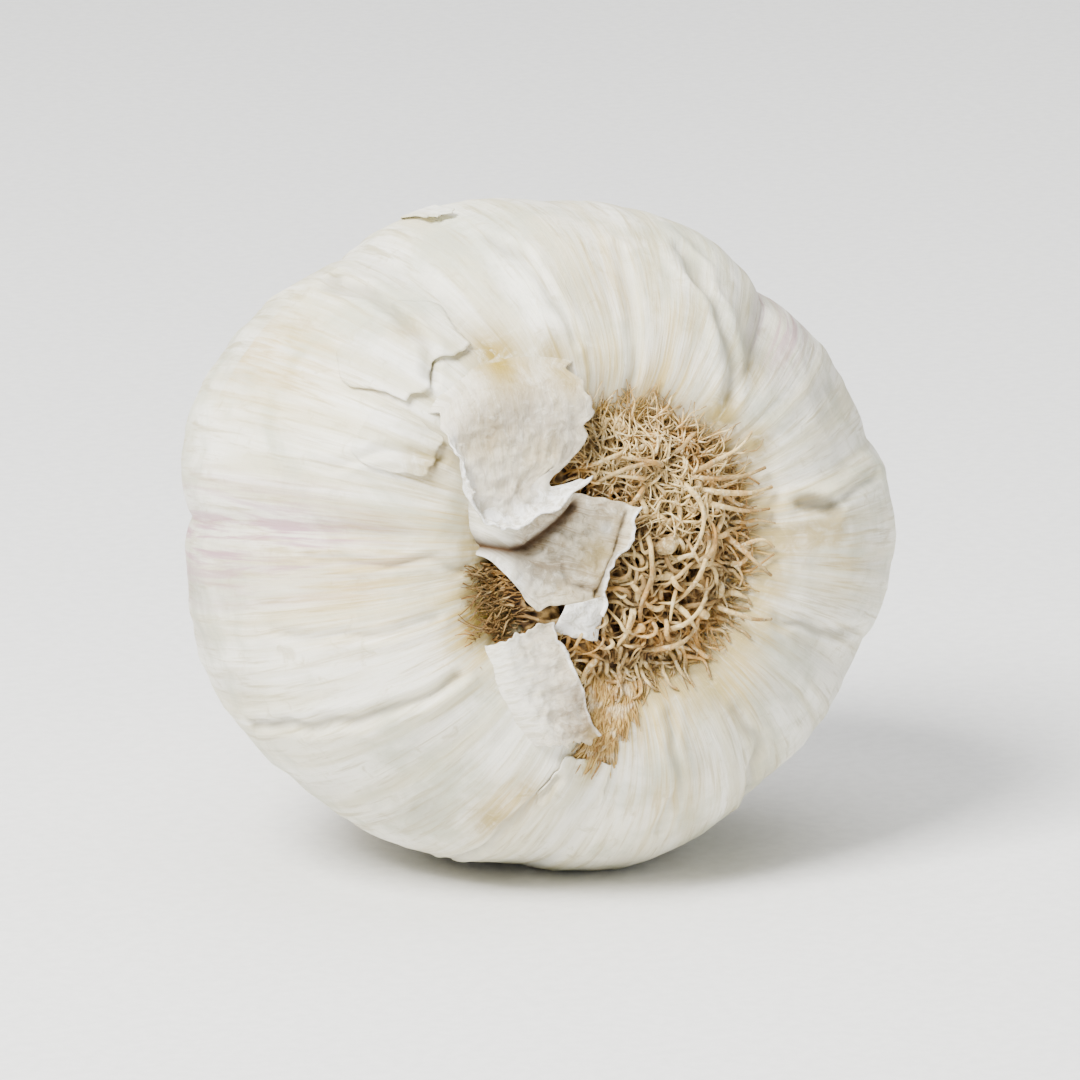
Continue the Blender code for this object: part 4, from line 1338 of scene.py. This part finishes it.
def make_tatter(index, degrees_round, length, width, stand_off):
    strip, across, out = add_grid(f"neck_tatter_{index + 1}", 26, 30)
    ragged = 1 + 0.16 * noise_along(across * 6, 0.9, index + 70.0)
    narrow = 1 - 0.55 * smooth_step(0.4, 1.0, out) * (0.7 + 0.3 * noise_along(across, 0.5, index))
    start = TATTER_STARTS + TATTER_START_SPREAD * ((index * GOLDEN_SHARE) % 1.0)
    along = start + (length + NECK_END - start) * out * ragged
    buckle = 0.12 * noise_at(np.column_stack((across * 7, out * 7, out)), 1.2, index + 80.0)
    foot = 0.9 * (1 - smooth_step(0.0, 0.3, out))
    radius = np.interp(along, NECK_ALONG, NECK_RADIUS) - foot + stand_off * out**2 + buckle
    turn = math.radians(degrees_round) + (across - 0.5) * width * narrow / 6.0
    bend_right, bend_up = axis_offset(along)
    place_points(strip, to_scene(np.column_stack((
        radius * np.cos(turn) + bend_right, along, radius * np.sin(turn) + bend_up))))
    give_attribute(strip, "grain", "FLOAT_VECTOR",
                   np.column_stack((across * width, out * 0.8, np.full(len(out), index * 3.0))))
    give_walls(strip, SHEET_THICKNESS)
    return strip


tatters = [make_tatter(k, *sizes) for k, sizes in enumerate(TATTERS)]
print("tatters:", len(tatters), "of", len(tatters[0].data.polygons), "faces")

# %% [markdown]
# ## Dried leaf sheath
#
# Stem and tatters are the same dry straw, matte and striped by fibres about half a millimetre
# apart, with worn patches of about 5 mm that are paler. The stem is browner than the tatters,
# and its cut end and its hollow show pith, which is crumbly and blotched.

# %% Material: dried leaf sheath, for the stem and the tatters


def sheath_material(name, pale, dark, fibre_mm):
    material, tree, shader, (blotch, pith, fibre) = new_material(
        name, place=((5.0, 3.0, 0.55, 0.0), (0.5, 4.0, 0.55, 0.0)),
        grain=((fibre_mm, 4.0, 0.65, 0.0),))
    inside = add_node(tree, "Attribute", {"attribute_name": "inside"}).outputs["Fac"]
    cut = paint(tree, "#D9C391", ("#8C6E41", (pith, 0.35, 0.65, 0.0, 1.0)))
    colour = paint(tree, pale, (dark, (fibre, 0.36, 0.66, 0.0, 1.0)),
                   ("#EDE3C8", (blotch, 0.5, 0.7, 0.0, 0.4)), (cut, inside))
    fill_sockets(tree, shader, {
        "Base Color": colour, "Roughness": 0.68, "Specular IOR Level": 0.35,
        "Normal": relief(tree, 0.2, 0.7, (fibre, 1.0))})
    return material


stem_material = sheath_material("dried_garlic_stem", "#DCC593", "#B18D55", 0.5)
tatter_material = sheath_material("dried_leaf_sheath", "#EFE8D8", "#CDBB95", 0.7)
finish_with(stem_stalk, stem_material, "stem", "stem")
for strip in tatters:
    finish_with(strip, tatter_material, "skin")
print("sheath materials:", stem_material.name, tatter_material.name)

# %% [markdown]
# ## Table, light and camera
#
# The bulb lies on a plain pale surface under soft daylight from the upper left, as in a product
# photograph. The camera looks a little down on the root end and from its left. It stands well
# back with a long lens, so the bulb fills the frame without looking bent.

# %% Pale floor
deselect_all()
bpy.ops.mesh.primitive_plane_add(size=3.0, location=(0.0, 0.0, 0.0))
floor = bpy.context.object
floor.name = "pale_floor"
floor_material, tree, shader, (card,) = new_material("pale_card", place=((1.2, 3.0, 0.55, 0.0),))
fill_sockets(tree, shader, {
    "Base Color": paint(tree, "#EBEBEA", ("#E4E4E3", (card, 0.3, 0.7, 0.0, 1.0))),
    "Roughness": 0.85})
floor.data.materials.append(floor_material)
print("floor:", floor.dimensions.x, "m wide")

# %% Lights
BULB_MIDDLE = (0.0, -0.002, 0.0265)
# Each light: its name, its place, its width in metres, its power in watts and its colour.
LIGHTS = (
    ("window_upper_left", (-0.5, -0.27, 0.66), 0.36, 24.0, (1.0, 0.99, 0.96)),
    ("soft_overhead", (0.1, 0.1, 0.8), 0.7, 6.5, (1.0, 1.0, 1.0)),
    ("fill_right", (0.6, -0.5, 0.3), 0.6, 1.0, (0.96, 0.98, 1.0)),
)
ROOM_COLOUR, ROOM_STRENGTH = (0.95, 0.97, 1.0, 1.0), 0.36


def place_aimed(obj, place):
    """Puts a light or a camera in the scene, looking at the bulb's middle."""
    bpy.context.scene.collection.objects.link(obj)
    obj.location = place
    look = Vector(BULB_MIDDLE) - Vector(place)
    obj.rotation_euler = look.to_track_quat("-Z", "Y").to_euler()


for name, place, width, watts, colour in LIGHTS:
    light = bpy.data.lights.new(name, "AREA")
    light.shape = "SQUARE"
    light.size = width
    light.energy = watts
    light.color = colour
    place_aimed(bpy.data.objects.new(name, light), place)
world = bpy.data.worlds.new("soft_room")
bpy.context.scene.world = world
world.use_nodes = True
fill_sockets(world.node_tree, world.node_tree.nodes["Background"],
             {"Color": ROOM_COLOUR, "Strength": ROOM_STRENGTH})
print("lights:", [name for name, *_ in LIGHTS])

# %% Camera
CAMERA_AZIMUTH, CAMERA_ELEVATION = math.radians(-22.0), math.radians(14.0)
CAMERA_DISTANCE = 0.75
FRAME_WIDTH = 0.088

camera_data = bpy.data.cameras.new("camera")
camera_data.sensor_width = 36.0
camera_data.sensor_fit = "HORIZONTAL"
camera_data.lens = camera_data.sensor_width * CAMERA_DISTANCE / FRAME_WIDTH
camera_data.clip_start = 0.01
camera = bpy.data.objects.new("camera", camera_data)
level = math.cos(CAMERA_ELEVATION)
towards = Vector((math.sin(CAMERA_AZIMUTH) * level, -math.cos(CAMERA_AZIMUTH) * level,
                  math.sin(CAMERA_ELEVATION)))
place_aimed(camera, Vector(BULB_MIDDLE) + CAMERA_DISTANCE * towards)
bpy.context.scene.camera = camera
print("camera lens:", round(camera_data.lens), "mm")
